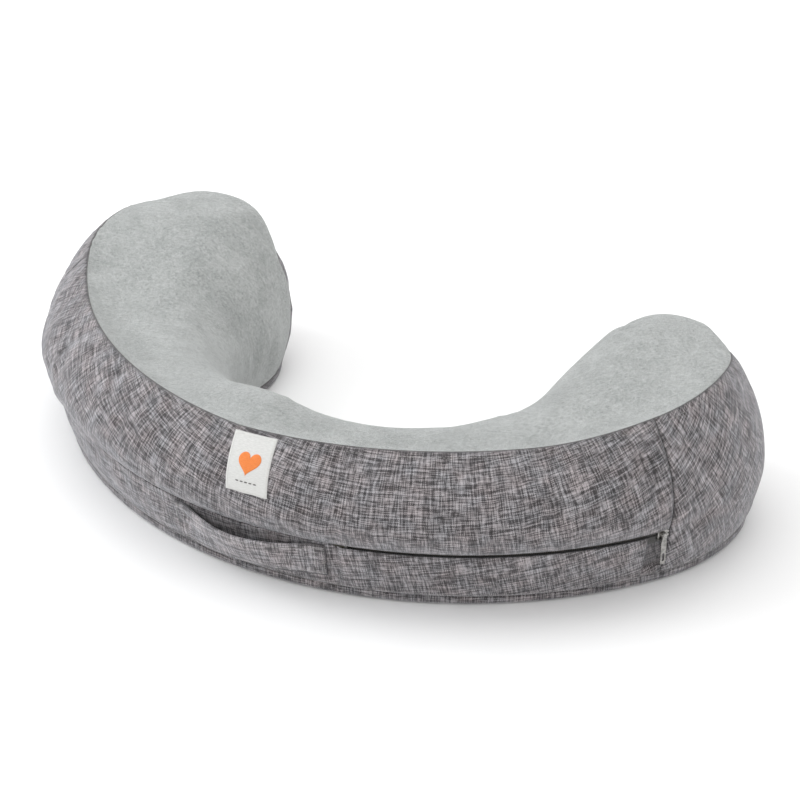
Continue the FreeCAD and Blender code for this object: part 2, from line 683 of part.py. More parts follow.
# bridge: a round bar on two legs, over the upper half of the outer plate
BL = dim("bridge_length")
PIN_R, PIN_Z = FACE + 2.4, 1.5               # hinge line: outward and above the zipper line
BAR = 0.55
for i, x in enumerate((-BL / 2, BL / 2 - 1.0)):
    leg = slider.newObject("PartDesign::AdditiveBox", "bridge_leg_%d" % (i + 1))
    leg.Length, leg.Width, leg.Height = 1.0, PIN_R - FACE + 0.7, 2 * BAR
    leg.Placement = Placement(Vector(x, yy(PIN_R + 0.5), ZIP + PIN_Z - BAR), Rotation())
    doc.recompute()
bar = slider.newObject("PartDesign::AdditiveCylinder", "bridge_bar")
bar.Radius = BAR
bind(bar, "Height", "{bridge_length}")
bar.Placement = Placement(Vector(-BL / 2, yy(PIN_R), ZIP + PIN_Z), Rotation(Vector(0, 1, 0), 90))
doc.recompute()
slider.Tip = bar
slider.Placement = about_axis(dim("zip_rest"))

# pull tab: a flat tongue with an eye round the bridge bar, hanging plumb
tab = new_body("zipper_pull_tab")
TW, TL, TT = dim("pull_width"), dim("pull_length"), dim("pull_thickness")
NECK = 1.5
pz = ZIP + PIN_Z
outline = [((-NECK, ""), (pz - 0.6, "")),
           ((-NECK, ""), (pz - 4.0, "")),
           ((-TW / 2, "-{pull_width} / 2"), (pz - 6.5, "")),
           ((-TW / 2, "-{pull_width} / 2"), (pz - TL + 1.2, "{zip_height} + %g - {pull_length} + 1.2" % PIN_Z)),
           ((-TW / 2 + 1.2, "-{pull_width} / 2 + 1.2"), (pz - TL, "{zip_height} + %g - {pull_length}" % PIN_Z)),
           ((TW / 2 - 1.2, "{pull_width} / 2 - 1.2"), (pz - TL, "{zip_height} + %g - {pull_length}" % PIN_Z)),
           ((TW / 2, "{pull_width} / 2"), (pz - TL + 1.2, "{zip_height} + %g - {pull_length} + 1.2" % PIN_Z)),
           ((TW / 2, "{pull_width} / 2"), (pz - 6.5, "")),
           ((NECK, ""), (pz - 4.0, "")),
           ((NECK, ""), (pz - 0.6, ""))]
sk = polygon_sketch(tab, "XZ_Plane", "tab_outline", outline)
sk.AttachmentOffset = Placement(Vector(0, 0, R1 + PIN_R), Rotation())
pad = tab.newObject("PartDesign::Pad", "tab_plate")
pad.Profile = sk
pad.Midplane = True
bind(pad, "Length", "{pull_thickness}")
doc.recompute()
eye = tab.newObject("PartDesign::AdditiveCylinder", "tab_eye")
eye.Radius = 1.5
eye.Height = 2 * NECK
eye.Placement = Placement(Vector(-NECK, yy(PIN_R), pz), Rotation(Vector(0, 1, 0), 90))
doc.recompute()
bore = tab.newObject("PartDesign::SubtractiveCylinder", "tab_eye_bore")
bore.Radius = BAR + 0.3
bore.Height = 2 * NECK + 2
bore.Placement = Placement(Vector(-NECK - 1, yy(PIN_R), pz), Rotation(Vector(0, 1, 0), 90))
doc.recompute()
slot = new_sketch(tab, "XZ_Plane", "tab_window")
slot.AttachmentOffset = Placement(Vector(0, 0, R1 + PIN_R + TT), Rotation())
zc0, zc1, hw = pz - TL + 4.2, pz - TL + 9.5, 1.1
arc_low = Part.ArcOfCircle(Part.Circle(Vector(0, zc0, 0), Vector(0, 0, 1), hw), math.pi, 2 * math.pi)
arc_top = Part.ArcOfCircle(Part.Circle(Vector(0, zc1, 0), Vector(0, 0, 1), hw), 0.0, math.pi)
slot.addGeometry(arc_low, False)
slot.addGeometry(Part.LineSegment(Vector(hw, zc0, 0), Vector(hw, zc1, 0)), False)
slot.addGeometry(arc_top, False)
slot.addGeometry(Part.LineSegment(Vector(-hw, zc1, 0), Vector(-hw, zc0, 0)), False)
slot.addConstraint(Sketcher.Constraint("Coincident", 0, 2, 1, 1))
slot.addConstraint(Sketcher.Constraint("Coincident", 1, 2, 2, 1))
slot.addConstraint(Sketcher.Constraint("Coincident", 2, 2, 3, 1))
slot.addConstraint(Sketcher.Constraint("Coincident", 3, 2, 0, 1))
window = tab.newObject("PartDesign::Pocket", "tab_window_cut")
window.Profile = slot
window.Length = 3 * TT
doc.recompute()
tab.Placement = about_axis(dim("zip_rest"))

# ---------------------------------------------------------------------------
# Carry handle: a flat strap sewn down at both ends, standing off in between
# ---------------------------------------------------------------------------
H0, H1 = dim("handle_start"), dim("handle_end")
HT = dim("handle_thickness")
SEWN = 11.0


def handle_bow(s):
    x = (s - H0 - SEWN) / (H1 - H0 - 2 * SEWN)
    return math.sin(math.pi * x) if 0 < x < 1 else 0.0


def handle_rows(s, n=6):
    """Heights and stand-off of the strap across its width at s."""
    b = handle_bow(s)
    mid = (s - (H0 + H1) / 2) / ((H1 - H0) / 2)
    z0 = dim("handle_bottom") + 4.0 * mid - 0.5 * b
    z1 = dim("handle_top") - 3.0 * b
    rows = []
    for z in steps(z0, z1, n):
        u = (z - z0) / (z1 - z0)
        rows.append((z, 0.3 + b * (dim("handle_bow_low") + (dim("handle_bow") - dim("handle_bow_low")) * u)))
    return rows


wires = []
for s in steps(H0, H0 + SEWN, 3)[:-1] + steps(H0 + SEWN, H1 - SEWN, 15)[:-1] + steps(H1 - SEWN, H1, 3):
    rows = handle_rows(s)
    wires.append(strip_wire([wall_point(s, z, g + HT) for z, g in rows],
                            [wall_point(s, z, g) for z, g in rows]))
feature("handle_strap", loft(wires))


# ---------------------------------------------------------------------------
# Trim that lies on the wall: cut from a thin skin over the wall
# ---------------------------------------------------------------------------
def on_wall(s_mid, z_mid, outlines, e0, e1, span, rise):
    """Flat outlines (across, up) wrapped on to the wall between two stand-offs."""
    skin = wall_strip(steps(s_mid - span, s_mid + span, 7), z_mid - rise, z_mid + rise, e1, e0, 7)
    x, y, nx, ny = on_outline(s_mid)
    tx, ty = -ny, nx
    solids = []
    for faces in outlines:
        prism = None
        for pts in faces:
            loop = [Vector(x + tx * a - nx * 80, y + ty * a - ny * 80, z_mid + b) for a, b in pts]
            face = Part.Face(Part.makePolygon(loop + [loop[0]]))
            block = face.extrude(Vector(nx * 160, ny * 160, 0))
            prism = block if prism is None else prism.cut(block)
        solids += skin.common(prism).Solids
    return solids


def frame(x0, x1, z0, z1, t, lean=0.0):
    """Rectangular line of width t, leaning sideways by lean over its height."""
    def quad(a0, a1, b0, b1):
        k = lambda b: -lean * (b - (z0 + z1) / 2) / (z1 - z0)
        return [(a0 + k(b0), b0), (a1 + k(b0), b0), (a1 + k(b1), b1), (a0 + k(b1), b1)]
    return [quad(x0, x1, z0, z1), quad(x0 + t, x1 - t, z0 + t, z1 - t)]


def compound(name, solids):
    shape = solids[0] if len(solids) == 1 else Part.makeCompound(solids)
    return feature(name, shape)


LW, LH, LS = dim("label_width"), dim("label_height"), dim("label_slant")
label_s = dim("label_middle") + LS / 2
label_z = dim("seam_front") - 1.8 - LH / 2
label_loop = frame(-LW / 2, LW / 2, -LH / 2, LH / 2, 1.0, LS)[0]
compound("label_patch", on_wall(label_s, label_z, [[label_loop]], 0.95, 1.4, LW / 2 + 8, LH / 2 + 1.5))
compound("label_stitching", on_wall(label_s, label_z,
                                    [frame(-LW / 2 + 1.6, LW / 2 - 1.6, -LH / 2 + 1.4, LH / 2 - 1.4, 0.6, LS)],
                                    1.55, 1.8, LW / 2 + 8, LH / 2 + 1.0))
heart = []
for i in range(40):
    q = 2 * math.pi * i / 40.0
    hx = 16 * math.sin(q) ** 3
    hz = 13 * math.cos(q) - 5 * math.cos(2 * q) - 2 * math.cos(3 * q) - math.cos(4 * q)
    heart.append((hx * 0.62 - 0.4, hz * 0.5 + 2.5))
compound("label_emblem", on_wall(label_s, label_z, [[heart]], 1.55, 1.95, LW / 2 + 4, LH / 2))

handle_marks = []
for s_mid, z_low in ((H0 + SEWN / 2, dim("handle_bottom") - 4.0), (H1 - SEWN / 2, dim("handle_bottom") + 4.0)):
    zc = (z_low + dim("handle_top")) / 2
    hh = (dim("handle_top") - z_low) / 2 - 2.2
    handle_marks += on_wall(s_mid, zc, [frame(-SEWN / 2 + 1.6, SEWN / 2 - 1.6, -hh, hh, 0.6)],
                            0.3 + HT + 0.55, 0.3 + HT + 0.8, SEWN, hh + 1.0)
compound("handle_end_stitching", handle_marks)

feature("care_label", wall_strip(steps(190.0, 225.0, 4), 14.0, 38.0, -WOVEN - 0.25, -WOVEN - 0.55, 5))

top_run = steps(-S_TIP - 20, S_TIP + 20, 133)
feature("top_seam_stitching", wall_strip(top_run, lambda s: seam_height(s) - 6.0,
                                         lambda s: seam_height(s) - 5.2, 0.60, 0.30, 2, True))
low_run = steps(-S_TIP - 100, S_TIP + 100, 149)
feature("base_seam_stitching", wall_strip(low_run, LOW + 1.0, LOW + 1.8, 0.60, 0.30, 2, True))

# ---------------------------------------------------------------------------
# Check every object, then write each sub-part
# ---------------------------------------------------------------------------
doc.recompute()
bad = [o.Name for o in doc.Objects if "Invalid" in o.State or "Error" in o.State]
if bad:
    raise RuntimeError("objects failed to build: %s" % ", ".join(bad))

os.makedirs("parts", exist_ok=True)
for obj, name in made:
    shape = obj.Shape
    if shape.isNull() or not shape.isValid() or not shape.Solids:
        raise RuntimeError("bad shape: " + name)
    shape.exportStep(os.path.join("parts", name + ".step"))
    b = shape.BoundBox
    print("%-22s solids %d volume %10.1f  x %.1f %.1f  y %.1f %.1f  z %.2f %.2f" % (
        name, len(shape.Solids), shape.Volume, b.XMin, b.XMax, b.YMin, b.YMax, b.ZMin, b.ZMax))
print("pin", [round(v, 4) for v in about_axis(dim("zip_rest")).multVec(Vector(0, yy(PIN_R), pz))])
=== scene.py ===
import math

import bpy
import numpy as np
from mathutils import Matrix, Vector


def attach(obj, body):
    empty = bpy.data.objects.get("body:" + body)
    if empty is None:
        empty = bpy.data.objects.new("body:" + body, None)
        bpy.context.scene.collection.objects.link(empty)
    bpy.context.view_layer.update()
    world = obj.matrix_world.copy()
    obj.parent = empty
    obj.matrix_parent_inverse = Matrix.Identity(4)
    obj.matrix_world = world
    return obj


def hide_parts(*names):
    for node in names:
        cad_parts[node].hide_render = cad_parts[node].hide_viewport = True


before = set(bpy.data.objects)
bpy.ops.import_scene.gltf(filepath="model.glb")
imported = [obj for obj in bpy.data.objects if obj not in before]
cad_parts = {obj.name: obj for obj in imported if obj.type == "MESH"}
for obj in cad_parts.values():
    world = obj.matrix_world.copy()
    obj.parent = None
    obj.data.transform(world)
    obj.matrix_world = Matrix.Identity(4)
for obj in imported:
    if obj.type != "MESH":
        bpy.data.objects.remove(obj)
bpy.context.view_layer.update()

MM = 0.001
BODY = "pillow"

# ---------------------------------------------------------------------------
# Camera, light and floor
# ---------------------------------------------------------------------------
scene = bpy.context.scene
scene.view_settings.view_transform = "Standard"

AZ, EL = math.radians(31.06), math.radians(29.78)
AIM = Vector((0.0255, 0.0466, 0.0629))
EYE = AIM + 1.94748 * Vector((math.sin(AZ) * math.cos(EL), -math.cos(AZ) * math.cos(EL), math.sin(EL)))
cam_data = bpy.data.cameras.new("camera")
cam_data.sensor_width = 36.0
cam_data.lens = 99.0
cam_data.clip_start, cam_data.clip_end = 0.05, 60.0
cam = bpy.data.objects.new("camera", cam_data)
scene.collection.objects.link(cam)
cam.location = EYE
turn = (AIM - EYE).to_track_quat("-Z", "Y").to_matrix().to_4x4()
cam.matrix_world = turn
cam.location = EYE
cam.rotation_euler.rotate_axis("Z", math.radians(0.14))
scene.camera = cam


def area_light(name, place, target, size, watts, colour=(1, 1, 1)):
    data = bpy.data.lights.new(name, "AREA")
    data.shape = "RECTANGLE"
    data.size, data.size_y = size
    data.energy = watts
    data.color = colour
    obj = bpy.data.objects.new(name, data)
    scene.collection.objects.link(obj)
    obj.location = place
    obj.rotation_euler = (Vector(target) - Vector(place)).to_track_quat("-Z", "Y").to_euler()
    return obj


area_light("soft_top", (-0.3, 0.5, 2.3), (0, 0, 0.05), (2.6, 2.2), 21.0, (1.0, 1.0, 0.995))
area_light("soft_left", (-2.1, -0.9, 1.5), (-0.05, 0, 0.08), (1.6, 1.6), 34.5, (0.95, 0.975, 1.0))
area_light("soft_front", (1.5, -2.3, 1.3), (0.05, -0.05, 0.05), (2.0, 1.4), 11.0, (1.0, 0.99, 0.98))

world = bpy.data.worlds.new("studio")
scene.world = world
world.use_nodes = True
world.node_tree.nodes["Background"].inputs["Color"].default_value = (1.0, 1.0, 1.0, 1.0)
world.node_tree.nodes["Background"].inputs["Strength"].default_value = 0.88

floor_mesh = bpy.data.meshes.new("floor")
floor_mesh.from_pydata([(-14, -14, -0.0004), (14, -14, -0.0004), (14, 14, -0.0004), (-14, 14, -0.0004)], [], [(0, 1, 2, 3)])
floor_obj = bpy.data.objects.new("floor", floor_mesh)
scene.collection.objects.link(floor_obj)

# ---------------------------------------------------------------------------
# Plan outline and wall profile of the cover, in millimetres
# ---------------------------------------------------------------------------
SHIFT, BAND, TUCK, LOW = 180.7, 55.35, 11.87, 9.44
ZIP = 54.1
RADII = ((377.67, 58.0), (165.89, 35.05), (102.66, 90.24), (105.79, 88.52))
WAIST = (137.24, 91.81)


def outline_arcs():
    arcs, x, y, head = [], 0.0, -SHIFT, 0.0
    for R, deg in RADII:
        a = math.radians(deg)
        cx, cy = x - R * math.sin(head), y + R * math.cos(head)
        arcs.append((cx, cy, R, head, a))
        head += a
        x, y = cx + R * math.sin(head), cy - R * math.cos(head)
    R = WAIST[0]
    cy = y + math.sqrt(max(R * R - x * x, 0.0)) * (1 if math.cos(head) < 0 else -1)
    t = math.pi - math.asin(min(1.0, x / R)) if cy < y else math.asin(min(1.0, x / R))
    arcs.append((0.0, cy, -R, math.pi + t, t))
    return arcs


ARCS = np.array(outline_arcs())
CUM = np.concatenate(([0.0], np.cumsum(np.abs(ARCS[:, 2]) * ARCS[:, 4])))
S_TIP, S_ALL = CUM[3], CUM[5]
DROP_A = S_TIP + 34.19
DROP_B = DROP_A + 100.45
S_END = DROP_B - 12.0
SIDE = 373.0
R1 = RADII[0][0]
AXIS_Y = R1 - SHIFT


def clip01(x):
    return np.clip(x, 0.0, 1.0)


def smooth(x, a, b):
    u = clip01((np.asarray(x, float) - a) / (b - a))
    return u * u * (3.0 - 2.0 * u)


def outline(s):
    s = np.asarray(s, float)
    side = np.where(s >= 0, 1.0, -1.0)
    a = np.abs(s)
    i = np.clip(np.searchsorted(CUM, a, side="right") - 1, 0, 4)
    cx, cy, R, head = (ARCS[i, k] for k in range(4))
    ang = head + np.sign(R) * (a - CUM[i]) / np.abs(R)
    return (side * (cx + R * np.sin(ang)), cy - R * np.cos(ang), side * np.sin(ang), -np.cos(ang))


def through(x, values, knots=(0.0, 0.4, 0.75, 1.0)):
    knots, values = np.array(knots), np.array(values, float)
    h = np.diff(knots)
    d = np.diff(values) / h
    m = np.zeros(len(knots))
    for i in range(1, len(knots) - 1):
        if d[i - 1] * d[i] > 0:
            w1, w2 = 2 * h[i] + h[i - 1], h[i] + 2 * h[i - 1]
            m[i] = (w1 + w2) / (w1 / d[i - 1] + w2 / d[i])

    def end(h0, h1, d0, d1):
        v = ((2 * h0 + h1) * d0 - h0 * d1) / (h0 + h1)
        if v * d0 <= 0:
            return 0.0
        return 3 * d0 if d0 * d1 <= 0 and abs(v) > 3 * abs(d0) else v
    m[0], m[-1] = end(h[0], h[1], d[0], d[1]), end(h[-1], h[-2], d[-1], d[-2])
    x = np.clip(np.asarray(x, float), knots[0], knots[-1])
    i = np.clip(np.searchsorted(knots, x, side="right") - 1, 0, len(knots) - 2)
    u = (x - knots[i]) / h[i]
    return ((2 * u ** 3 - 3 * u ** 2 + 1) * values[i] + (u ** 3 - 2 * u ** 2 + u) * h[i] * m[i]
            + (-2 * u ** 3 + 3 * u ** 2) * values[i + 1] + (u ** 3 - u ** 2) * h[i] * m[i + 1])


def seam_height(s):
    s = np.abs(s)
    h = through(s / S_TIP, (133.66, 134.28, 150.87, 122.65))
    k = smooth(s, DROP_A, DROP_B)
    return h * (1 - k) + LOW * k


def wall_offset(s, z):
    s, z = np.broadcast_arrays(np.abs(np.asarray(s, float)), np.asarray(z, float))
    x = s / S_TIP
    kin = 1.0 - smooth(s, DROP_A, DROP_B)
    off = -TUCK * clip01(1.0 - z / BAND) ** 1.3 * (0.3 + 0.7 * kin)
    off = off - 6.6 * (1 - kin) * np.clip(1.0 - (z - LOW) / 35.0, 0.0, 1.3) ** 1.3
    top = seam_height(s)
    u = clip01((z - BAND) / np.maximum(top - BAND, 1e-3)) * (top > BAND)
    off = off + kin * through(x, (23.59, 26.18, 9.0, 9.48)) * 4 * u * (1 - u)
    return off + kin * through(x, (-19.65, -31.45, -35.49, -10.71)) * u


def wall(s, z, extra=0.0):
    s, z = np.broadcast_arrays(np.asarray(s, float), np.asarray(z, float))
    x, y, nx, ny = outline(s)
    off = wall_offset(s, z) + extra
    return np.stack((x + off * nx, y + off * ny, z), -1)


def top_curve(t, n=260):
    """Dense section across the top, from the outer to the inner seam."""
    at = abs(t)
    so, si = at * S_TIP, S_ALL - at * (S_ALL - S_TIP)
    ho, hi = float(seam_height(so)), float(seam_height(si))
    tuck = 6.6 * float(smooth(si, DROP_A, DROP_B))
    low = float(clip01(1.0 - (hi - LOW) / 35.0)) ** 1.3
    a, b = wall(so, ho), wall(si, hi, tuck * low)
    chord = math.hypot(b[0] - a[0], b[1] - a[1])
    ux, uy = (b[0] - a[0]) / chord, (b[1] - a[1]) / chord
    crest = float(through(at, (132.06, 121.09, 149.75, 154.58)))
    e = min(max(chord / (2 * 102.66 * 0.98), 0.0), 1.0)
    dome = math.sqrt(max(1 - (1 - e) ** 2, 0.0)) if at > 0.6 else 1.0
    hc = ho + (crest - ho) * dome
    rc = 0.25 + 0.03 * float(smooth(at, 0.15, 0.72))
    pq = 2.77
    u = np.linspace(1, 0, n // 4, endpoint=False)
    d1, z1 = rc * (1 - u), ho + (hc - ho) * (1 - u * u)
    q = np.linspace(0, 1, n)
    th = math.pi / 2 * (q * q * (3 - 2 * q))
    d2 = rc + (1 - rc) * np.sin(th) ** (2 / pq)
    z2 = hi + (hc - hi) * np.clip(np.cos(th), 0, 1) ** (2 / pq)
    d = np.concatenate((d1, d2)) * chord
    z = np.concatenate((z1, z2))
    d[n // 4:] -= tuck * clip01(1.0 - (z2 - LOW) / 35.0) ** 1.3
    p = np.stack((a[0] + ux * d, a[1] + uy * d, z), -1)
    if t < 0:
        p[:, 0] *= -1
    return p


# ---------------------------------------------------------------------------
# Structured panels
# ---------------------------------------------------------------------------
EDGE = np.array((0.0, 0.25, 0.7, 1.4, 2.5, 4.2, 6.6, 10.0))


def edged(total, n_mid, edge=EDGE):
    """Distances 0..total with close rows near both edges; total may be an array."""
    total = np.atleast_1d(np.asarray(total, float))
    k = np.minimum(1.0, total / (2.7 * edge[-1]))[:, None]
    lo = edge * k
    hi = total[:, None] - lo[:, ::-1]
    f = np.arange(1, n_mid + 1) / (n_mid + 1.0)
    mid = lo[:, -1:] + (hi[:, :1] - lo[:, -1:]) * f
    return np.concatenate((lo, mid, hi), 1)


def resample(curves, rows_of):
    """curves (C, K, 3) -> points (C, R, 3), distance from the first edge and length."""
    step = np.linalg.norm(np.diff(curves, axis=1), axis=2)
    cum = np.concatenate((np.zeros((len(curves), 1)), np.cumsum(step, 1)), 1)
    L = cum[:, -1]
    rows = rows_of(L)
    out = np.empty(rows.shape + (3,))
    for c in range(len(curves)):
        for k in range(3):
            out[c, :, k] = np.interp(rows[c], cum[c], curves[c, :, k])
    return out, rows, L


def grid_normals(P):
    du, dv = np.gradient(P, axis=0), np.gradient(P, axis=1)
    n = np.cross(du, dv)
    return n / np.maximum(np.linalg.norm(n, axis=-1, keepdims=True), 1e-9)


def blur(A, n, axis):
    for _ in range(3):
        pad = [(0, 0)] * A.ndim
        pad[axis] = (n, n)
        B = np.pad(A, pad, mode="edge")
        c = np.cumsum(B, axis=axis)
        z = np.zeros_like(np.take(c, [0], axis=axis))
        c = np.concatenate((z, c), axis=axis)
        size = A.shape[axis]
        hi = np.take(c, range(2 * n + 1, 2 * n + 1 + size), axis=axis)
        lo = np.take(c, range(0, size), axis=axis)
        A = (hi - lo) / (2 * n + 1)
    return A


def cubic(D, fi, fj):
    """Catmull-Rom sample of D (C, R, 3) at fractional indices."""
    def w(u):
        return ((-u + 2 * u ** 2 - u ** 3) / 2, (2 - 5 * u ** 2 + 3 * u ** 3) / 2,
                (u + 4 * u ** 2 - 3 * u ** 3) / 2, (-u ** 2 + u ** 3) / 2)
    C, R = D.shape[:2]
    i0, j0 = np.clip(np.floor(fi).astype(int), 0, C - 2), np.clip(np.floor(fj).astype(int), 0, R - 2)
    wi, wj = w(fi - i0), w(fj - j0)
    out = 0
    for a in range(4):
        ia = np.clip(i0 + a - 1, 0, C - 1)
        for b in range(4):
            jb = np.clip(j0 + b - 1, 0, R - 1)
            out = out + (wi[a] * wj[b])[..., None] * D[ia, jb]
    return out


def waves(x, seed, lo, hi, n=14):
    """Smooth random wave of one variable, about unit size."""
    rs = np.random.RandomState(seed)
    out = 0
    for _ in range(n):
        L = math.exp(rs.uniform(math.log(lo), math.log(hi)))
        out = out + math.cos(0) * np.cos(2 * math.pi * x / L + rs.uniform(0, 6.28)) * rs.uniform(0.5, 1.0)
    return out / math.sqrt(n * 0.3)


def mesh_object(name, verts, faces, uv=None, smooth_shade=True, near=None):
    me = bpy.data.meshes.new(name)
    me.from_pydata([tuple(v) for v in (np.asarray(verts) * MM).tolist()], [], faces)
    if uv is not None:
        layer = me.uv_layers.new(name="cloth")
        loops = np.empty(len(me.loops), int)
        me.loops.foreach_get("vertex_index", loops)
        layer.data.foreach_set("uv", (np.asarray(uv)[loops] * MM).astype(np.float32).ravel())
    # near becomes the seam point attribute: painted shade that the cloth materials mix into their colour along seams,
    # strap edges and recesses
    if near is not None:
        at = me.attributes.new("seam", "FLOAT", "POINT")
        at.data.foreach_set("value", np.asarray(near, np.float32).ravel())
    if smooth_shade:
        me.polygons.foreach_set("use_smooth", [True] * len(me.polygons))
    me.update()
    obj = bpy.data.objects.new(name, me)
    scene.collection.objects.link(obj)
    return obj


def grid_faces(C, R, start=0, flip=False, wrap_c=False, wrap_r=False):
    faces = []
    cc = C if wrap_c else C - 1
    rr = R if wrap_r else R - 1
    for c in range(cc):
        a, b = start + c * R, start + ((c + 1) % C) * R
        for r in range(rr):
            r1 = (r + 1) % R
            q = (a + r, b + r, b + r1, a + r1)
            faces.append(q[::-1] if flip else q)
    return faces


def shell(name, P, N, uv, thick, near=None):
    """Closed cloth shell: outer grid P, inner grid thick below it, rim between."""
    C, R = P.shape[:2]
    inner = P - N * thick
    inner[..., 2] = np.maximum(inner[..., 2], 0.0)
    n = C * R
    verts = np.concatenate((P.reshape(-1, 3), inner.reshape(-1, 3)))
    faces = grid_faces(C, R) + grid_faces(C, R, n, flip=True)
    for r, flip in ((0, False), (R - 1, True)):
        for c in range(C - 1):
            a, b = c * R + r, (c + 1) * R + r
            q = (a, a + n, b + n, b)
            faces.append(q[::-1] if flip else q)
    for c, flip in ((0, True), (C - 1, False)):
        for r in range(R - 1):
            a, b = c * R + r, c * R + r + 1
            q = (a, a + n, b + n, b)
            faces.append(q[::-1] if flip else q)
    # near: painted shade strength per point, passed on to the seam attribute
    if near is None:
        near = np.zeros((C, R))
    return mesh_object(name, verts, faces, np.concatenate((uv.reshape(-1, 2),) * 2), near=np.concatenate((near.reshape(-1),) * 2))


# ---------------------------------------------------------------------------
# Cloth simulation of a coarse panel; gives how far each point moves
# ---------------------------------------------------------------------------
def inflate(P, N, pressure, grow, cap, frames=16, start_in=1.2, bending=0.4):
    C, R = P.shape[:2]
    u = np.minimum(np.arange(C), np.arange(C)[::-1])[:, None]
    v = np.minimum(np.arange(R), np.arange(R)[::-1])[None]
    inside = np.minimum(clip01(u / 3.0), clip01(v / 3.0))[..., None]
    Q = P - N * start_in * inside
    obj = mesh_object("sim", Q.reshape(-1, 3), grid_faces(C, R))
    pin = obj.vertex_groups.new(name="pin")
    edge = ((u <= 0) | (v <= 0)).reshape(-1)
    pin.add([int(i) for i in np.nonzero(edge)[0]], 1.0, "REPLACE")
    md = obj.modifiers.new("cloth", "CLOTH")
    st = md.settings
    st.quality = 4
    st.mass = 0.25
    st.tension_stiffness = st.compression_stiffness = 18.0
    st.shear_stiffness = 8.0
    st.bending_stiffness = bending
    st.air_damping = 2.0
    st.use_pressure = True
    st.uniform_pressure_force = pressure
    st.shrink_min = -grow
    st.vertex_group_mass = "pin"
    st.effector_weights.gravity = 0.0
    md.collision_settings.use_collision = False
    md.collision_settings.use_self_collision = False
    md.point_cache.frame_start, md.point_cache.frame_end = 1, frames
    for f in range(1, frames + 1):
        scene.frame_set(f)
    dg = bpy.context.evaluated_depsgraph_get()
    ev = obj.evaluated_get(dg)
    co = np.empty(len(ev.data.vertices) * 3)
    ev.data.vertices.foreach_get("co", co)
    D = co.reshape(C, R, 3) / MM - P
    me = obj.data
    bpy.data.objects.remove(obj)
    bpy.data.meshes.remove(me)
    scene.frame_set(1)
    # keep the folds, and only a little of the overall swelling
    soft = blur(blur(D, 5, 0), 4, 1)
    D = (D - soft) + 0.25 * soft
    inward = np.minimum(np.sum(D * N, -1, keepdims=True), 0.0)
    D = D - N * (inward - 1.6 * np.tanh(inward / 1.6))
    size = np.linalg.norm(D, axis=-1, keepdims=True)
    D = D * (cap * np.tanh(size / cap) / np.maximum(size, 1e-9))
    print("sim", P.shape, "largest move", round(float(size.max()), 2), "kept", round(float(np.linalg.norm(D, axis=-1).max()), 2))
    return D


# ---------------------------------------------------------------------------
# Seam lines: where two panels meet, sunk below the cover's face
# ---------------------------------------------------------------------------
def seam_point(s, z, tilt_deg, depth):
    s = np.asarray(s, float)
    x, y, nx, ny = outline(s)
    a = np.radians(tilt_deg) * np.ones_like(s)
    p = wall(s, z)
    d = np.stack((nx * np.cos(a), ny * np.cos(a), np.sin(a)), -1)
    return p - d * depth


def q_top(s):
    k = smooth(np.abs(s), DROP_A - 20, DROP_B)
    return seam_point(s, seam_height(s), 42.0 * (1 - k) - 25.0 * k, 1.8)


def q_low(s):
    return seam_point(s, LOW + 0 * np.asarray(s, float), -25.0, 0.9)


def roll(e, w):
    """Depth share at the distance e from a seam, for cloth that turns in over w."""
    u = 1.0 - clip01(e / w)
    return 1.0 - np.sqrt(np.maximum(1.0 - u * u, 0.0))


def sink(P, e, Q, edge_point, w):
    """Displacement that rolls a panel's edge to the seam line Q."""
    return roll(e, w)[..., None] * (Q - edge_point)


def make_panel(spec):
    """spec: columns (C), curve(c) dense, n_mid, edges; a uv function is not used."""
    curves = np.array([spec["curve"](c) for c in spec["cols"]])
    P, rows, L = resample(curves, lambda L: edged(L, spec["n_mid"], spec.get("edge", EDGE)))
    return P, rows, L


def coarse_of(spec, cols, n_rows):
    curves = np.array([spec["curve"](c) for c in cols])
    f = np.linspace(0, 1, n_rows)
    P, rows, L = resample(curves, lambda L: L[:, None] * f)
    return P


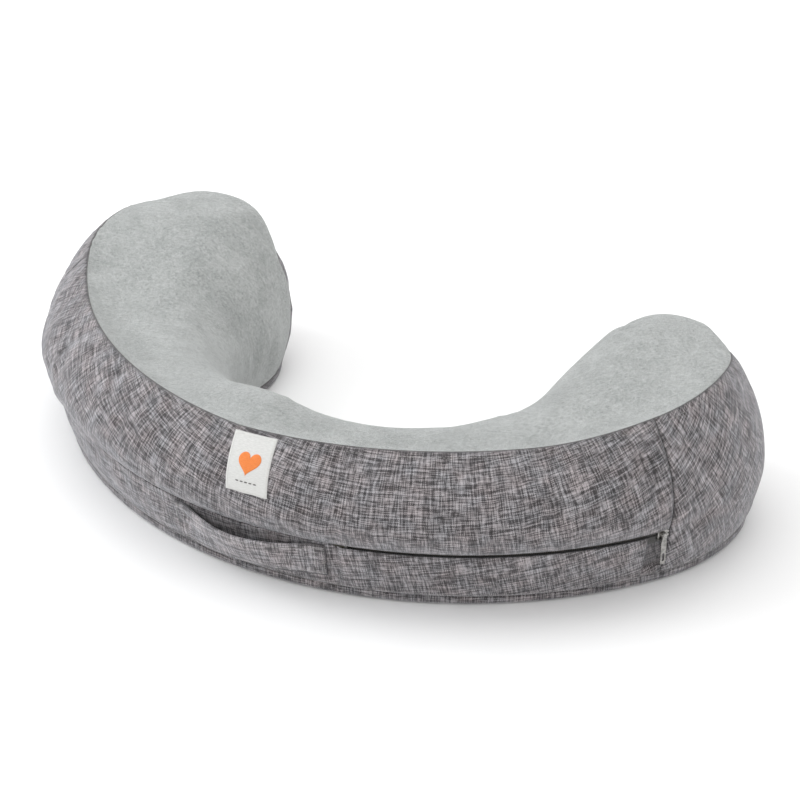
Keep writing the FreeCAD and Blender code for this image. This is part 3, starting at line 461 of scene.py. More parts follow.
# ---------------------------------------------------------------------------
# Materials
# ---------------------------------------------------------------------------
class Mat:
    """Small helper round a node material."""

    def __init__(self, name, base=(0.5, 0.5, 0.5), rough=0.8, metal=0.0, sheen=0.0, sheen_rough=0.4, spec=0.3):
        self.m = bpy.data.materials.new(name)
        self.m.use_nodes = True
        self.t = self.m.node_tree
        self.p = self.t.nodes["Principled BSDF"]
        self.p.inputs["Base Color"].default_value = (*base, 1)
        self.p.inputs["Roughness"].default_value = rough
        self.p.inputs["Metallic"].default_value = metal
        self.p.inputs["Sheen Weight"].default_value = sheen
        self.p.inputs["Sheen Roughness"].default_value = sheen_rough
        self.p.inputs["Specular IOR Level"].default_value = spec

    def node(self, kind, **kw):
        n = self.t.nodes.new(kind)
        for k, v in kw.items():
            setattr(n, k, v)
        return n

    def link(self, a, b):
        self.t.links.new(a, b)

    def set(self, sock, value):
        if hasattr(value, "is_linked") or isinstance(value, bpy.types.NodeSocket):
            self.link(value, sock)
        else:
            sock.default_value = value

    def math(self, op, a, b=None, c=None, clamp=False):
        n = self.node("ShaderNodeMath", operation=op, use_clamp=clamp)
        for i, v in enumerate((a, b, c)):
            if v is not None:
                self.set(n.inputs[i], v)
        return n.outputs[0]

    def vec(self, x, y, z=0.0):
        n = self.node("ShaderNodeCombineXYZ")
        for i, v in enumerate((x, y, z)):
            self.set(n.inputs[i], v)
        return n.outputs[0]

    def uv_mm(self):
        """U and V of the cloth in millimetres."""
        u = self.node("ShaderNodeUVMap", uv_map="cloth")
        s = self.node("ShaderNodeSeparateXYZ")
        self.link(u.outputs[0], s.inputs[0])
        return self.math("MULTIPLY", s.outputs[0], 1000.0), self.math("MULTIPLY", s.outputs[1], 1000.0)

    def obj_mm(self):
        c = self.node("ShaderNodeTexCoord")
        v = self.node("ShaderNodeVectorMath", operation="SCALE")
        self.link(c.outputs["Object"], v.inputs[0])
        v.inputs["Scale"].default_value = 1000.0
        return v.outputs[0]

    def noise(self, vector, scale, detail=2.0, rough=0.5, dims="3D", distortion=0.0):
        n = self.node("ShaderNodeTexNoise", noise_dimensions=dims)
        self.link(vector, n.inputs["Vector"])
        n.inputs["Scale"].default_value = scale
        n.inputs["Detail"].default_value = detail
        n.inputs["Roughness"].default_value = rough
        n.inputs["Distortion"].default_value = distortion
        return n.outputs[0]

    def remap(self, x, a, b, c=0.0, d=1.0, kind="LINEAR"):
        n = self.node("ShaderNodeMapRange", interpolation_type=kind)
        self.set(n.inputs["Value"], x)
        for k, v in (("From Min", a), ("From Max", b), ("To Min", c), ("To Max", d)):
            n.inputs[k].default_value = v
        return n.outputs[0]

    def ramp(self, fac, stops):
        n = self.node("ShaderNodeValToRGB")
        el = n.color_ramp.elements
        el[0].position, el[0].color = stops[0][0], (*stops[0][1], 1)
        el[1].position, el[1].color = stops[-1][0], (*stops[-1][1], 1)
        for pos, col in stops[1:-1]:
            e = el.new(pos)
            e.color = (*col, 1)
        self.link(fac, n.inputs[0])
        return n.outputs[0]

    def mix(self, fac, a, b, blend="MIX"):
        n = self.node("ShaderNodeMix", data_type="RGBA", blend_type=blend)
        self.set(n.inputs[0], fac)
        for sock, v in ((n.inputs[6], a), (n.inputs[7], b)):
            if isinstance(v, tuple):
                sock.default_value = (*v, 1)
            else:
                self.link(v, sock)
        return n.outputs[2]

    def bump(self, height, strength, distance_mm):
        n = self.node("ShaderNodeBump")
        self.link(height, n.inputs["Height"])
        n.inputs["Strength"].default_value = strength
        n.inputs["Distance"].default_value = distance_mm * MM
        self.link(n.outputs[0], self.p.inputs["Normal"])


def woven(name, dark, light, tint=(1, 1, 1), pitch=0.74, contrast=1.0, shade=1.0):
    """Heathered slub cloth: separate yarns both ways, each light or dark along its own length."""
    m = Mat(name, rough=0.9, sheen=0.42, sheen_rough=0.42, spec=0.2)
    m.p.inputs["Sheen Tint"].default_value = (0.93, 0.95, 1.0, 1)
    u, v = m.uv_mm()

    def yarns(across, along, seed):
        # a little wander keeps the yarns from being ruler straight
        wob = m.noise(m.vec(m.math("MULTIPLY", along, 0.022), m.math("MULTIPLY", across, 0.012), seed), 1.0, 1.0)
        a = m.math("ADD", across, m.math("MULTIPLY", m.math("SUBTRACT", wob, 0.5), 1.8))

        def layer(p, length, detail, k, width):
            row = m.math("FLOOR", m.math("DIVIDE", a, p))
            key = m.math("MULTIPLY", row, 17.37)
            slub = m.noise(m.vec(m.math("MULTIPLY", along, 1.0 / length), key, seed + k), 1.0, detail, 0.6)
            return m.remap(slub, 0.5 - width, 0.5 + width, 0.0, 1.0, "SMOOTHSTEP"), row
        f1, row = layer(pitch, 17.0, 2.0, 3.1, 0.11)
        f2, _ = layer(pitch * 2.0, 36.0, 1.0, 7.7, 0.14)
        ridge = m.math("ABSOLUTE", m.math("SINE", m.math("MULTIPLY", m.math("DIVIDE", a, pitch), math.pi)))
        return m.math("ADD", m.math("MULTIPLY", f1, 0.76), m.math("MULTIPLY", f2, 0.24)), ridge, row
    fa, ra, rowa = yarns(v, u, 1.3)
    fb, rb, rowb = yarns(u, v, 21.9)
    over = m.math("MODULO", m.math("ABSOLUTE", m.math("ADD", rowa, rowb)), 2.0)
    pick = m.remap(over, 0.0, 1.0, 0.30, 0.70)
    f = m.math("ADD", m.math("MULTIPLY", fa, pick), m.math("MULTIPLY", fb, m.math("SUBTRACT", 1.0, pick)))
    fleck = m.noise(m.vec(m.math("MULTIPLY", u, 1.7), m.math("MULTIPLY", v, 1.7), 4.4), 1.0, 2.0, 0.7)
    f = m.math("ADD", f, m.math("MULTIPLY", m.math("SUBTRACT", fleck, 0.5), 0.35), clamp=True)
    col = m.ramp(f, ((0.0, tuple(c * 0.62 for c in dark)), (0.28, dark), (0.62, tuple(a * 0.45 + b * 0.55 for a, b in zip(dark, light))),
                     (0.84, light), (1.0, tuple(min(1.0, c * 1.3) for c in light))))
    # warm and cool patches, as the dye lots of the yarns differ
    patch = m.noise(m.vec(m.math("MULTIPLY", u, 0.05), m.math("MULTIPLY", v, 0.065), 8.0), 1.0, 3.0)
    warm = m.ramp(patch, ((0.34, (0.97 * tint[0], 0.99 * tint[1], 1.02 * tint[2])), (0.66, (1.045 * tint[0], 0.985 * tint[1], 0.985 * tint[2]))))
    col = m.mix(1.0, col, warm, "MULTIPLY")
    # painted shade: the seam attribute mixes the cloth colour towards near black along seams, strap edges and recesses
    near = m.node("ShaderNodeAttribute", attribute_name="seam")
    col = m.mix(near.outputs["Fac"], col, (0.022, 0.021, 0.021))
    m.link(col, m.p.inputs["Base Color"])
    h = m.math("ADD", m.math("MULTIPLY", ra, 0.5), m.math("MULTIPLY", rb, 0.5))
    h = m.math("ADD", h, m.math("MULTIPLY", fleck, 0.8))
    m.bump(h, 0.5, 0.3)
    m.link(m.remap(fleck, 0.2, 0.8, 0.82, 0.94), m.p.inputs["Roughness"])
    return m.m


def plush_material():
    """Short-pile velvety plush with a soft, brushed nap."""
    m = Mat("plush_pile", rough=0.95, sheen=0.9, sheen_rough=0.34, spec=0.1)
    m.p.inputs["Sheen Tint"].default_value = (0.97, 0.985, 0.98, 1)
    o = m.obj_mm()
    nap = m.noise(o, 0.03, 3.0, 0.6, distortion=0.6)
    strokes = m.noise(o, 0.13, 3.0, 0.66, distortion=1.1)
    pile = m.noise(o, 0.36, 4.0, 0.92, distortion=0.3)
    fine = m.noise(o, 2.0, 1.0, 0.6)
    f = m.math("ADD", m.math("MULTIPLY", nap, 0.2), m.math("MULTIPLY", strokes, 0.16))
    f = m.math("ADD", f, m.math("MULTIPLY", pile, 0.64))
    col = m.ramp(f, ((0.39, (0.235, 0.247, 0.242)), (0.5, (0.365, 0.379, 0.372)), (0.61, (0.51, 0.524, 0.516))))
    # painted shade: the seam attribute mixes the plush colour towards dark grey along its seams
    near = m.node("ShaderNodeAttribute", attribute_name="seam")
    col = m.mix(near.outputs["Fac"], col, (0.10, 0.10, 0.098))
    m.link(col, m.p.inputs["Base Color"])
    h = m.math("ADD", m.math("MULTIPLY", pile, 2.6), m.math("MULTIPLY", fine, 0.5))
    h = m.math("ADD", h, m.math("MULTIPLY", strokes, 1.4))
    m.bump(h, 0.75, 1.0)
    m.link(m.remap(pile, 0.25, 0.75, 0.88, 0.99), m.p.inputs["Roughness"])
    return m.m


def thread_material(name, a, b):
    m = Mat(name, rough=0.6, sheen=0.2, sheen_rough=0.4, spec=0.4)
    o = m.obj_mm()
    twist = m.noise(o, 3.2, 2.0, 0.6)
    m.link(m.ramp(twist, ((0.3, a), (0.7, b))), m.p.inputs["Base Color"])
    m.bump(twist, 0.4, 0.15)
    return m.m


def foam_material():
    m = Mat("foam", rough=0.95, spec=0.1)
    o = m.obj_mm()
    cells = m.node("ShaderNodeTexVoronoi")
    m.link(o, cells.inputs["Vector"])
    cells.inputs["Scale"].default_value = 0.9
    big = m.noise(o, 0.03, 2.0)
    f = m.math("ADD", m.math("MULTIPLY", cells.outputs[0], 0.5), m.math("MULTIPLY", big, 0.5))
    m.link(m.ramp(f, ((0.2, (0.56, 0.52, 0.40)), (0.8, (0.74, 0.70, 0.57)))), m.p.inputs["Base Color"])
    m.bump(cells.outputs[0], 0.5, 0.5)
    return m.m


def metal_material():
    m = Mat("zipper_nickel", base=(0.74, 0.73, 0.71), rough=0.24, metal=1.0, spec=0.5)
    o = m.obj_mm()
    brushed = m.noise(o, 1.4, 3.0, 0.6)
    wear = m.noise(o, 0.35, 2.0)
    m.link(m.ramp(wear, ((0.35, (0.25, 0.245, 0.235)), (0.65, (0.42, 0.41, 0.395)))), m.p.inputs["Base Color"])
    m.link(m.remap(brushed, 0.3, 0.7, 0.16, 0.34), m.p.inputs["Roughness"])
    m.bump(brushed, 0.15, 0.05)
    return m.m


def coil_material():
    m = Mat("zipper_coil_nylon", rough=0.38, spec=0.5)
    o = m.obj_mm()
    n = m.noise(o, 0.9, 2.0)
    m.link(m.ramp(n, ((0.3, (0.085, 0.082, 0.08)), (0.7, (0.15, 0.145, 0.14)))), m.p.inputs["Base Color"])
    m.bump(n, 0.2, 0.1)
    return m.m


def satin_material():
    m = Mat("label_satin", rough=0.5, sheen=0.2, sheen_rough=0.3, spec=0.4)
    u, v = m.uv_mm()
    rib = m.math("SINE", m.math("MULTIPLY", v, 2 * math.pi / 0.42))
    weft = m.math("SINE", m.math("MULTIPLY", u, 2 * math.pi / 0.55))
    n = m.noise(m.vec(m.math("MULTIPLY", u, 0.3), m.math("MULTIPLY", v, 1.6), 0.0), 1.0, 2.0)
    m.link(m.ramp(n, ((0.3, (0.50, 0.50, 0.485)), (0.7, (0.60, 0.60, 0.585)))), m.p.inputs["Base Color"])
    h = m.math("ADD", m.math("MULTIPLY", rib, 0.5), m.math("MULTIPLY", weft, 0.3))
    m.bump(h, 0.3, 0.08)
    m.link(m.remap(n, 0.3, 0.7, 0.42, 0.58), m.p.inputs["Roughness"])
    return m.m


def emblem_material():
    m = Mat("emblem_thread", rough=0.45, sheen=0.25, sheen_rough=0.3, spec=0.45)
    u, v = m.uv_mm()
    strand = m.math("ABSOLUTE", m.math("SINE", m.math("MULTIPLY", m.math("ADD", v, m.math("MULTIPLY", u, 0.12)), math.pi / 0.42)))
    n = m.noise(m.vec(m.math("MULTIPLY", u, 0.25), m.math("MULTIPLY", v, 2.4), 0.0), 1.0, 2.0)
    f = m.math("ADD", m.math("MULTIPLY", strand, 0.55), m.math("MULTIPLY", n, 0.45))
    m.link(m.ramp(f, ((0.15, (0.50, 0.10, 0.012)), (0.55, (0.80, 0.20, 0.03)), (0.95, (0.93, 0.32, 0.07)))), m.p.inputs["Base Color"])
    m.bump(strand, 0.8, 0.25)
    return m.m


def tape_material():
    m = Mat("zipper_tape_twill", rough=0.85, sheen=0.1, spec=0.25)
    u, v = m.uv_mm()
    tw = m.math("SINE", m.math("MULTIPLY", m.math("ADD", u, v), 2 * math.pi / 0.8))
    n = m.noise(m.vec(m.math("MULTIPLY", u, 0.8), m.math("MULTIPLY", v, 0.8), 0.0), 1.0, 2.0)
    f = m.math("ADD", m.math("MULTIPLY", tw, 0.15), n)
    m.link(m.ramp(f, ((0.3, (0.055, 0.054, 0.053)), (0.75, (0.12, 0.117, 0.115)))), m.p.inputs["Base Color"])
    m.bump(tw, 0.4, 0.15)
    return m.m


# one woven cloth in five copies: the strap copy is painted lighter, painted light for the strap standing out from the
# wall; the base copy is painted darker, painted shade for the underside; the wall and band copies are a little darker
# than the end walls
DARK, LIGHT = (0.069, 0.065, 0.066), (0.37, 0.355, 0.36)
M_WALL = woven("woven_wall", tuple(c * 0.9 for c in DARK), tuple(c * 0.9 for c in LIGHT))
M_BAND = woven("woven_band", tuple(c * 0.95 for c in DARK), tuple(c * 0.92 for c in LIGHT))
M_END = woven("woven_end", DARK, LIGHT)
M_STRAP_PAINTED_LIGHTER = woven("woven_strap_painted_lighter", tuple(c * 1.25 for c in DARK), tuple(c * 1.1 for c in LIGHT))
M_BASE_PAINTED_DARKER = woven("woven_base_painted_darker", tuple(c * 0.85 for c in DARK), tuple(c * 0.82 for c in LIGHT))
M_PLUSH = plush_material()
M_THREAD = thread_material("thread_grey", (0.20, 0.195, 0.19), (0.32, 0.31, 0.30))
# dark thread material: the label's grey line, and the seam tubes that stand in for shade in the seam grooves
M_DARK_THREAD_AND_SEAM_SHADE = thread_material("dark_thread_and_seam_shade", (0.07, 0.068, 0.066), (0.13, 0.125, 0.12))
M_LABELTHREAD = thread_material("thread_label", (0.50, 0.49, 0.46), (0.62, 0.61, 0.58))
M_FOAM = foam_material()
M_METAL = metal_material()
M_COIL = coil_material()
M_TAPE = tape_material()
M_SATIN = satin_material()
M_EMBLEM = emblem_material()

mf = Mat("studio_floor", rough=0.9, spec=0.1)
fo = mf.noise(mf.obj_mm(), 0.004, 2.0)
mf.link(mf.ramp(fo, ((0.3, (0.90, 0.90, 0.90)), (0.7, (0.92, 0.92, 0.92)))), mf.p.inputs["Base Color"])
floor_obj.data.materials.append(mf.m)


def finish_piece(obj, mat, nodes, body=BODY):
    obj.data.materials.append(mat)
    if nodes:
        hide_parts(*nodes)
    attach(obj, body)
    return obj


# ---------------------------------------------------------------------------
# Cloth coordinates: each wall panel is cut from straight cloth as a shallow
# arc, so the yarns slowly turn against the seams along its length
# ---------------------------------------------------------------------------
def cut_uv(S, V, start_deg, radius, shift=(0.0, 0.0)):
    a0 = math.radians(start_deg)
    if radius is None:
        x, y = S * math.cos(a0) - V * math.sin(a0), S * math.sin(a0) + V * math.cos(a0)
    else:
        a = S / radius + a0
        x, y = (radius + V) * np.sin(a), (radius + V) * np.cos(a)
    return np.stack((x + shift[0], y + shift[1]), -1)


def wall_curve(s, z0, z1, n=90):
    z = np.linspace(z0, z1, n)
    return wall(np.full(n, s), z)


def lumps(P, N, amount, seed, scale=60.0):
    """Low, wide unevenness of stuffed cloth."""
    rs = np.random.RandomState(seed)
    h = 0
    for _ in range(12):
        k = rs.normal(size=3)
        k *= 2 * math.pi / (scale * rs.uniform(0.6, 1.6)) / np.linalg.norm(k)
        h = h + np.cos(P @ k + rs.uniform(0, 6.28))
    return N * (h / math.sqrt(6.0) * amount)[..., None]


def puckers(S, e, seed, amount, reach=9.0, lo=9.0, hi=26.0):
    """Small gathers that run off a seam, for distance S along it and e from it."""
    w = waves(S, seed, lo, hi) * (0.6 + 0.4 * waves(S, seed + 1, 60, 160))
    return amount * w * np.exp(-e / reach) * (1 - np.exp(-e / 1.2))


def sample_grid(A, cols, rows, s, e):
    """Value of the grid A at column s and at the distance e along that column."""
    s, e = np.broadcast_arrays(np.asarray(s, float), np.asarray(e, float))
    fi = np.interp(s, cols, np.arange(len(cols)))
    lo = np.clip(np.floor(fi).astype(int), 0, len(cols) - 2)
    f = fi - lo
    fj = np.empty(s.shape)
    for k in np.ndindex(s.shape):
        row = rows[lo[k]] * (1 - f[k]) + rows[lo[k] + 1] * f[k]
        fj[k] = np.interp(e[k], row, np.arange(len(row)))
    return cubic(A, fi, fj)


def tube(paths, radius, sides=6, name="tube", up=(0, 0, 1)):
    verts, faces = [], []
    for pts, closed in paths:
        pts = np.asarray(pts, float)
        tan = np.gradient(pts, axis=0)
        if closed:
            tan = np.roll(pts, -1, 0) - np.roll(pts, 1, 0)
        tan /= np.maximum(np.linalg.norm(tan, axis=1, keepdims=True), 1e-9)
        ref = np.array(up, float)
        b = np.cross(tan, ref)
        b /= np.maximum(np.linalg.norm(b, axis=1, keepdims=True), 1e-9)
        c = np.cross(b, tan)
        a = np.linspace(0, 2 * math.pi, sides, endpoint=False)
        ring = pts[:, None] + radius * (b[:, None] * np.cos(a)[None, :, None] + c[:, None] * np.sin(a)[None, :, None])
        start, n = len(verts), len(pts)
        verts.extend(ring.reshape(-1, 3))
        faces += grid_faces(n, sides, start, wrap_c=closed, wrap_r=True)
        if not closed:
            faces.append(tuple(start + k for k in range(sides))[::-1])
            faces.append(tuple(start + (n - 1) * sides + k for k in range(sides)))
    obj = mesh_object(name, np.array(verts), faces)
    return obj


def stitches(name, runs, length=2.7, gap=0.8, radius=0.3, lift=0.05):
    """Rows of separate stitches; each run is (points, normals)."""
    verts, faces = [], []
    a = np.linspace(0, 2 * math.pi, 6, endpoint=False)
    prof = ((-0.5, 0.12), (-0.40, 0.75), (-0.15, 1.0), (0.15, 1.0), (0.40, 0.75), (0.5, 0.12))
    for pts, nrm in runs:
        pts, nrm = np.asarray(pts, float), np.asarray(nrm, float)
        cum = np.concatenate(([0.0], np.cumsum(np.linalg.norm(np.diff(pts, axis=0), axis=1))))
        count = max(1, int(round(cum[-1] / (length + gap))))
        pitch = cum[-1] / count
        at = lambda d, A: np.array([np.interp(d, cum, A[:, k]) for k in range(3)])
        for i in range(count):
            mid = (i + 0.5) * pitch
            half = 0.5 * (pitch - gap)
            p0, p1, n = at(mid - half, pts), at(mid + half, pts), at(mid, nrm)
            n = n / np.linalg.norm(n)
            tg = (p1 - p0) / max(np.linalg.norm(p1 - p0), 1e-9)
            b = np.cross(tg, n)
            c = at(mid, pts) + n * lift
            start = len(verts)
            for f, r in prof:
                # the ends of each stitch dip into the cloth
                ctr = c + tg * (f * 2 * half) - n * (0.35 * radius * (2 * abs(f)) ** 3)
                for q in a:
                    verts.append(ctr + radius * r * (b * math.cos(q) + n * 0.8 * math.sin(q)))
            m = len(prof)
            faces += grid_faces(m, 6, start, wrap_r=True)
            faces.append(tuple(start + k for k in range(6))[::-1])
            faces.append(tuple(start + (m - 1) * 6 + k for k in range(6)))
    return mesh_object(name, np.array(verts), faces)


# ---------------------------------------------------------------------------
# Plush top
# ---------------------------------------------------------------------------
T_LAST = 1.0 - 0.7 / S_TIP


def fold(P, N, centre, along, width, length, depth, push=0.45):
    """One soft crease: a valley with a low ridge on each side."""
    c, a = np.array(centre, float), np.array(along, float)
    a /= np.linalg.norm(a)
    r = P - c
    ax = r @ a
    rad = r - ax[..., None] * a
    rad = rad - np.sum(rad * N, -1, keepdims=True) * N
    d = np.linalg.norm(rad, axis=-1)
    w = -np.exp(-(d / width) ** 2) + push * np.exp(-((d - 2.1 * width) / (1.3 * width)) ** 2)
    near = np.exp(-(ax / length) ** 2) * np.exp(-(np.abs(np.sum(r * N, -1)) / 25.0) ** 2)
    return N * (depth * w * near)[..., None]


tc = np.linspace(-T_LAST, T_LAST, 289)
spec = dict(cols=tc, curve=top_curve, n_mid=46)
P, rows, L = make_panel(spec)
N = grid_normals(P)
tq = np.linspace(-0.985, 0.985, 151)
Pq = coarse_of(spec, tq, 29)
D = inflate(Pq, grid_normals(Pq), pressure=4.0, grow=0.03, cap=3.6)
fi = np.interp(tc, tq, np.arange(len(tq)))[:, None] * np.ones_like(rows)
fj = rows / L[:, None] * 28.0
e0, e1 = rows, L[:, None] - rows
fade = smooth(e0, 3, 20) * smooth(e1, 3, 20) * smooth((1 - np.abs(tc))[:, None] * S_TIP, 4, 30)
S_OUT = (tc * S_TIP)[:, None] * np.ones_like(rows)
S_IN = (np.sign(tc) * (S_ALL - np.abs(tc) * (S_ALL - S_TIP)))[:, None] * np.ones_like(rows)
waist = (1 - 0.9 * smooth(rows / L[:, None], 0.62, 0.8)) * smooth(rows / L[:, None], 0.2, 0.5) * smooth(np.abs(tc)[:, None], 0.28, 0.42) * (1 - smooth(np.abs(tc)[:, None], 0.78, 0.9))
move = cubic(D, fi, fj) * (fade * (0.18 + 0.6 * waist))[..., None] + lumps(P, N, 0.25, 5, 70.0) * fade[..., None]
tipfade = smooth((1 - np.abs(tc))[:, None] * S_TIP, 4, 25)
move = move + N * (puckers(S_OUT, e0, 11, 0.55, 8.0, 10, 30) * tipfade)[..., None]
move = move + N * (puckers(S_IN, e1, 17, 0.35, 9.0, 10, 30) * tipfade)[..., None]
q0 = q_top(tc * S_TIP)
q1 = q_top(S_IN[:, 0])
r0, r1 = roll(e0, 5.5), roll(e1, 5.5)
both = np.maximum(1.0, r0 + r1)
SWELLS = (((-26.0, -99.0), 40.0, 8.0), ((180.0, 108.0), 28.0, 5.0), ((204.0, 140.0), 32.0, 4.5), ((-272.0, 140.0), 70.0, 3.5))
swell_fade = smooth(e0, 3, 24) * smooth(e1, 1, 16)
for c, rad, tall in SWELLS:
    d2 = (P[..., 0] - c[0]) ** 2 + (P[..., 1] - c[1]) ** 2
    move[..., 2] += tall * np.exp(-d2 / rad ** 2) * swell_fade * smooth(P[..., 2], 40, 90)
FOLDS_TOP = (((296.0, 100.0, 150.0), (0.85, -0.53, 0.0), 2.2, 12.0, 1.3), ((296.0, 116.0, 149.5), (0.93, -0.36, 0.0), 2.4, 14.0, 1.5),
             ((294.0, 134.0, 147.5), (0.98, -0.2, -0.1), 2.4, 12.0, 1.2), ((-143.0, 92.0, 45.0), (0.1, 0.45, 0.9), 5.0, 26.0, 1.6),
             ((-139.0, 62.0, 50.0), (0.25, 0.5, 0.85), 5.0, 28.0, 1.4), ((-148.0, 40.0, 82.0), (0.6, 0.45, 0.6), 6.0, 32.0, 1.2))
for f in FOLDS_TOP:
    move = move + fold(P, N, *f) * (smooth(e0, 2, 9) * smooth(e1, 2, 14))[..., None]
TOP = P + move + (r0 / both)[..., None] * (q0 - P[:, 0])[:, None] + (r1 / both)[..., None] * (q1 - P[:, -1])[:, None]
uv = np.stack((S_OUT, rows), -1)
# painted shade along both plush seams, written to the seam attribute
near = 0.75 * np.exp(-(np.minimum(e0, e1) / 0.8) ** 1.2)
plush = shell("plush_top", TOP, N, uv, 2.2, near)
finish_piece(plush, M_PLUSH, ["plush_top_panel"])

# ---------------------------------------------------------------------------
# Woven wall panels
# ---------------------------------------------------------------------------
LABEL_S, LABEL_Z, LW, LH, SLANT = 19.2 + 3.75, 133.66 - 1.8 - 18.5, 38.0, 37.0, 7.5


def woven_panel(name, cols, z_low, z_high, n_mid, seed, uvspec, mat, nodes, ends=(True, True), thick=1.2,
                extra=None, q_lo=None, q_hi=None, w_lo=3.6, w_hi=3.6, calm=None, sim=None, side_depth=2.5,
                sag=0.25, end_w=4.2, painted_shade_lo=0.2, painted_shade_hi=0.8, painted_shade_end=0.85, shade=None):
    def curve(s):
        z = np.linspace(float(z_low(s)), float(z_high(s)), 90)
        p = wall(np.full(90, s), z)
        if extra is not None:
            x, y, nx, ny = outline(s)
            ex = extra(np.full(90, s), z)
            p = p + np.stack((nx * ex, ny * ex, 0 * ex), -1)
        return p
    sp = dict(cols=cols, curve=curve, n_mid=n_mid)
    P, rows, L = make_panel(sp)
    N = grid_normals(P)
    S = cols[:, None] * np.ones_like(rows)
    e0, e1 = rows, L[:, None] - rows
    ca, cb = (cols - cols[0])[:, None], (cols[-1] - cols)[:, None]
    fade = smooth(e0, 2, 14) * smooth(e1, 2, 14)
    if ends[0]:
        fade = fade * smooth(ca, 2, 16)
    if ends[1]:
        fade = fade * smooth(cb, 2, 16)
    if calm is not None:
        fade = fade * calm(S, P[..., 2])
    move = lumps(P, N, sag, seed, 60.0) * fade[..., None]
    if sim is not None:
        step = 7.5
        sq = np.linspace(cols[0], cols[-1], int((cols[-1] - cols[0]) / step))
        nq = sim["rows"]
        Pq = coarse_of(sp, sq, nq)
        D = inflate(Pq, grid_normals(Pq), sim.get("pressure", 4.0), sim.get("grow", 0.02), sim.get("cap", 3.0))
        fi = np.interp(cols, sq, np.arange(len(sq)))[:, None] * np.ones_like(rows)
        move = move + cubic(D, fi, rows / L[:, None] * (nq - 1)) * fade[..., None]
    quiet = 1.0 if calm is None else calm(S, P[..., 2])
    if q_hi is not None:
        move = move + N * (puckers(S, e1, seed + 3, 0.45, 8.0, 8, 24) * quiet)[..., None]
    if q_lo is not None:
        move = move + N * (puckers(S, e0, seed + 5, 0.3, 7.0, 8, 24) * quiet)[..., None]
    # height along the panel from its lower edge, and puckers that run off the upright seams
    for on, c, k in ((ends[0], ca, 0), (ends[1], cb, 1)):
        if on:
            move = move + N * (puckers(rows, c, seed + 7 + k, 0.4, 8.0, 9, 26) * np.minimum(fade + 0.4, 1))[..., None]
    out = P + move
    r0 = roll(e0, w_lo) if q_lo is not None else 0 * e0
    r1 = roll(e1, w_hi) if q_hi is not None else 0 * e1
    both = np.maximum(1.0, r0 + r1)
    if q_lo is not None:
        out = out + (r0 / both)[..., None] * (q_lo(cols) - P[:, 0])[:, None]
    if q_hi is not None:
        out = out + (r1 / both)[..., None] * (q_hi(cols) - P[:, -1])[:, None]
    for on, c, i in ((ends[0], ca, 0), (ends[1], cb, -1)):
        if on:
            x, y, nx, ny = outline(cols[i])
            keep = 1.0 - np.maximum(r0, r1)
            out = out - (roll(c, end_w) * keep)[..., None] * np.array([nx, ny, 0.0]) * side_depth
    uv = uvspec(S, rows)
    share = lambda k: (k(S) if callable(k) else k)
    # painted shade, written to the seam attribute: dark lines along the lower and upper seams and the upright seam
    # ends, and the extra shade mask where one is given
    near = np.zeros(rows.shape)
    line = lambda e: np.exp(-(e / 0.85) ** 1.2)
    if q_lo is not None:
        near = np.maximum(near, share(painted_shade_lo) * line(e0))
    if q_hi is not None:
        near = np.maximum(near, share(painted_shade_hi) * line(e1))
    for on, c in ((ends[0], ca), (ends[1], cb)):
        if on:
            near = np.maximum(near, painted_shade_end * line(c * 0.8 + 0 * rows))
    if shade is not None:
        near = np.maximum(near, shade(S, P[..., 2]))
    obj = shell(name, out, N, uv, thick, near)
    finish_piece(obj, mat, nodes)
    return dict(obj=obj, P=out, N=grid_normals(out), rows=rows, L=L, cols=cols)


def calm_wall(s, z):
    la = smooth(np.abs(s - LABEL_S), LW / 2 + 3, LW / 2 + 22)
    lb = smooth(np.abs(z - LABEL_Z), LH / 2 + 1, LH / 2 + 14)
    return np.maximum(np.maximum(la, lb), 0.08) * (1.0 - 0.6 * smooth(s, 92, 104) * (1 - smooth(z, 60, 72)))


def calm_band(s, z):
    return 0.25 + 0.75 * smooth(np.abs(s - 15.5), 76, 96) * (1.0 - 0.6 * smooth(s, 92, 104))


def zip_share(s):
    return smooth(s, 93, 101)


front_cols = edged(2 * SIDE, 168)[0] - SIDE
front_lo = lambda s: BAND + (0.15 + 0.55 * smooth(s, 180, 300) + 0.5 * smooth(s, 330, 352)) * smooth(s, 107, 120)


def q_front_low(s):
    x, y, nx, ny = outline(s)
    z = front_lo(s)
    d = 0.45 + 0.25 * smooth(s, 106, 122) + 0.8 * smooth(s, 200, 320)
    return wall(s, z) + np.stack((-nx * d, -ny * d, 0.25 + 0 * nx), -1)


# painted shade along the lap under the wall's lower edge over the zipper, stronger towards the right end
WALL = woven_panel("front_wall", front_cols, front_lo, seam_height, 16, 31,
                   lambda S, V: cut_uv(S, V, -11.0, 800.0), M_WALL, ["front_wall_panel"],
                   q_lo=q_front_low, q_hi=q_top, w_lo=2.2, painted_shade_lo=lambda s: 0.1 + 0.35 * smooth(s, 130, 330), calm=calm_wall, thick=1.1,
                   sim=dict(rows=15, pressure=4.0, grow=0.03, cap=1.7))

band_hi = lambda s: BAND - 0.3 - 5.9 * zip_share(s)


def notch_share(s, z):
    return smooth(s, 350.0, 353.0) * (1 - smooth(s, 368.5, 371.5)) * smooth(z, 13.0, 21.0)


def band_extra(s, z):
    return -3.2 * notch_share(s, z) + 0.6 * np.exp(-(np.maximum(BAND - z, 0) / 7.0) ** 2) * (1 - zip_share(s)) * smooth(np.abs(s), SIDE, SIDE - 12)


def q_band_high(s):
    x, y, nx, ny = outline(s)
    z = band_hi(s)
    d = 0.6
    p = wall(s, z)
    ex = band_extra(s, z)
    return p + np.stack((nx * (ex - d), ny * (ex - d), 0.15 + 0 * nx), -1)


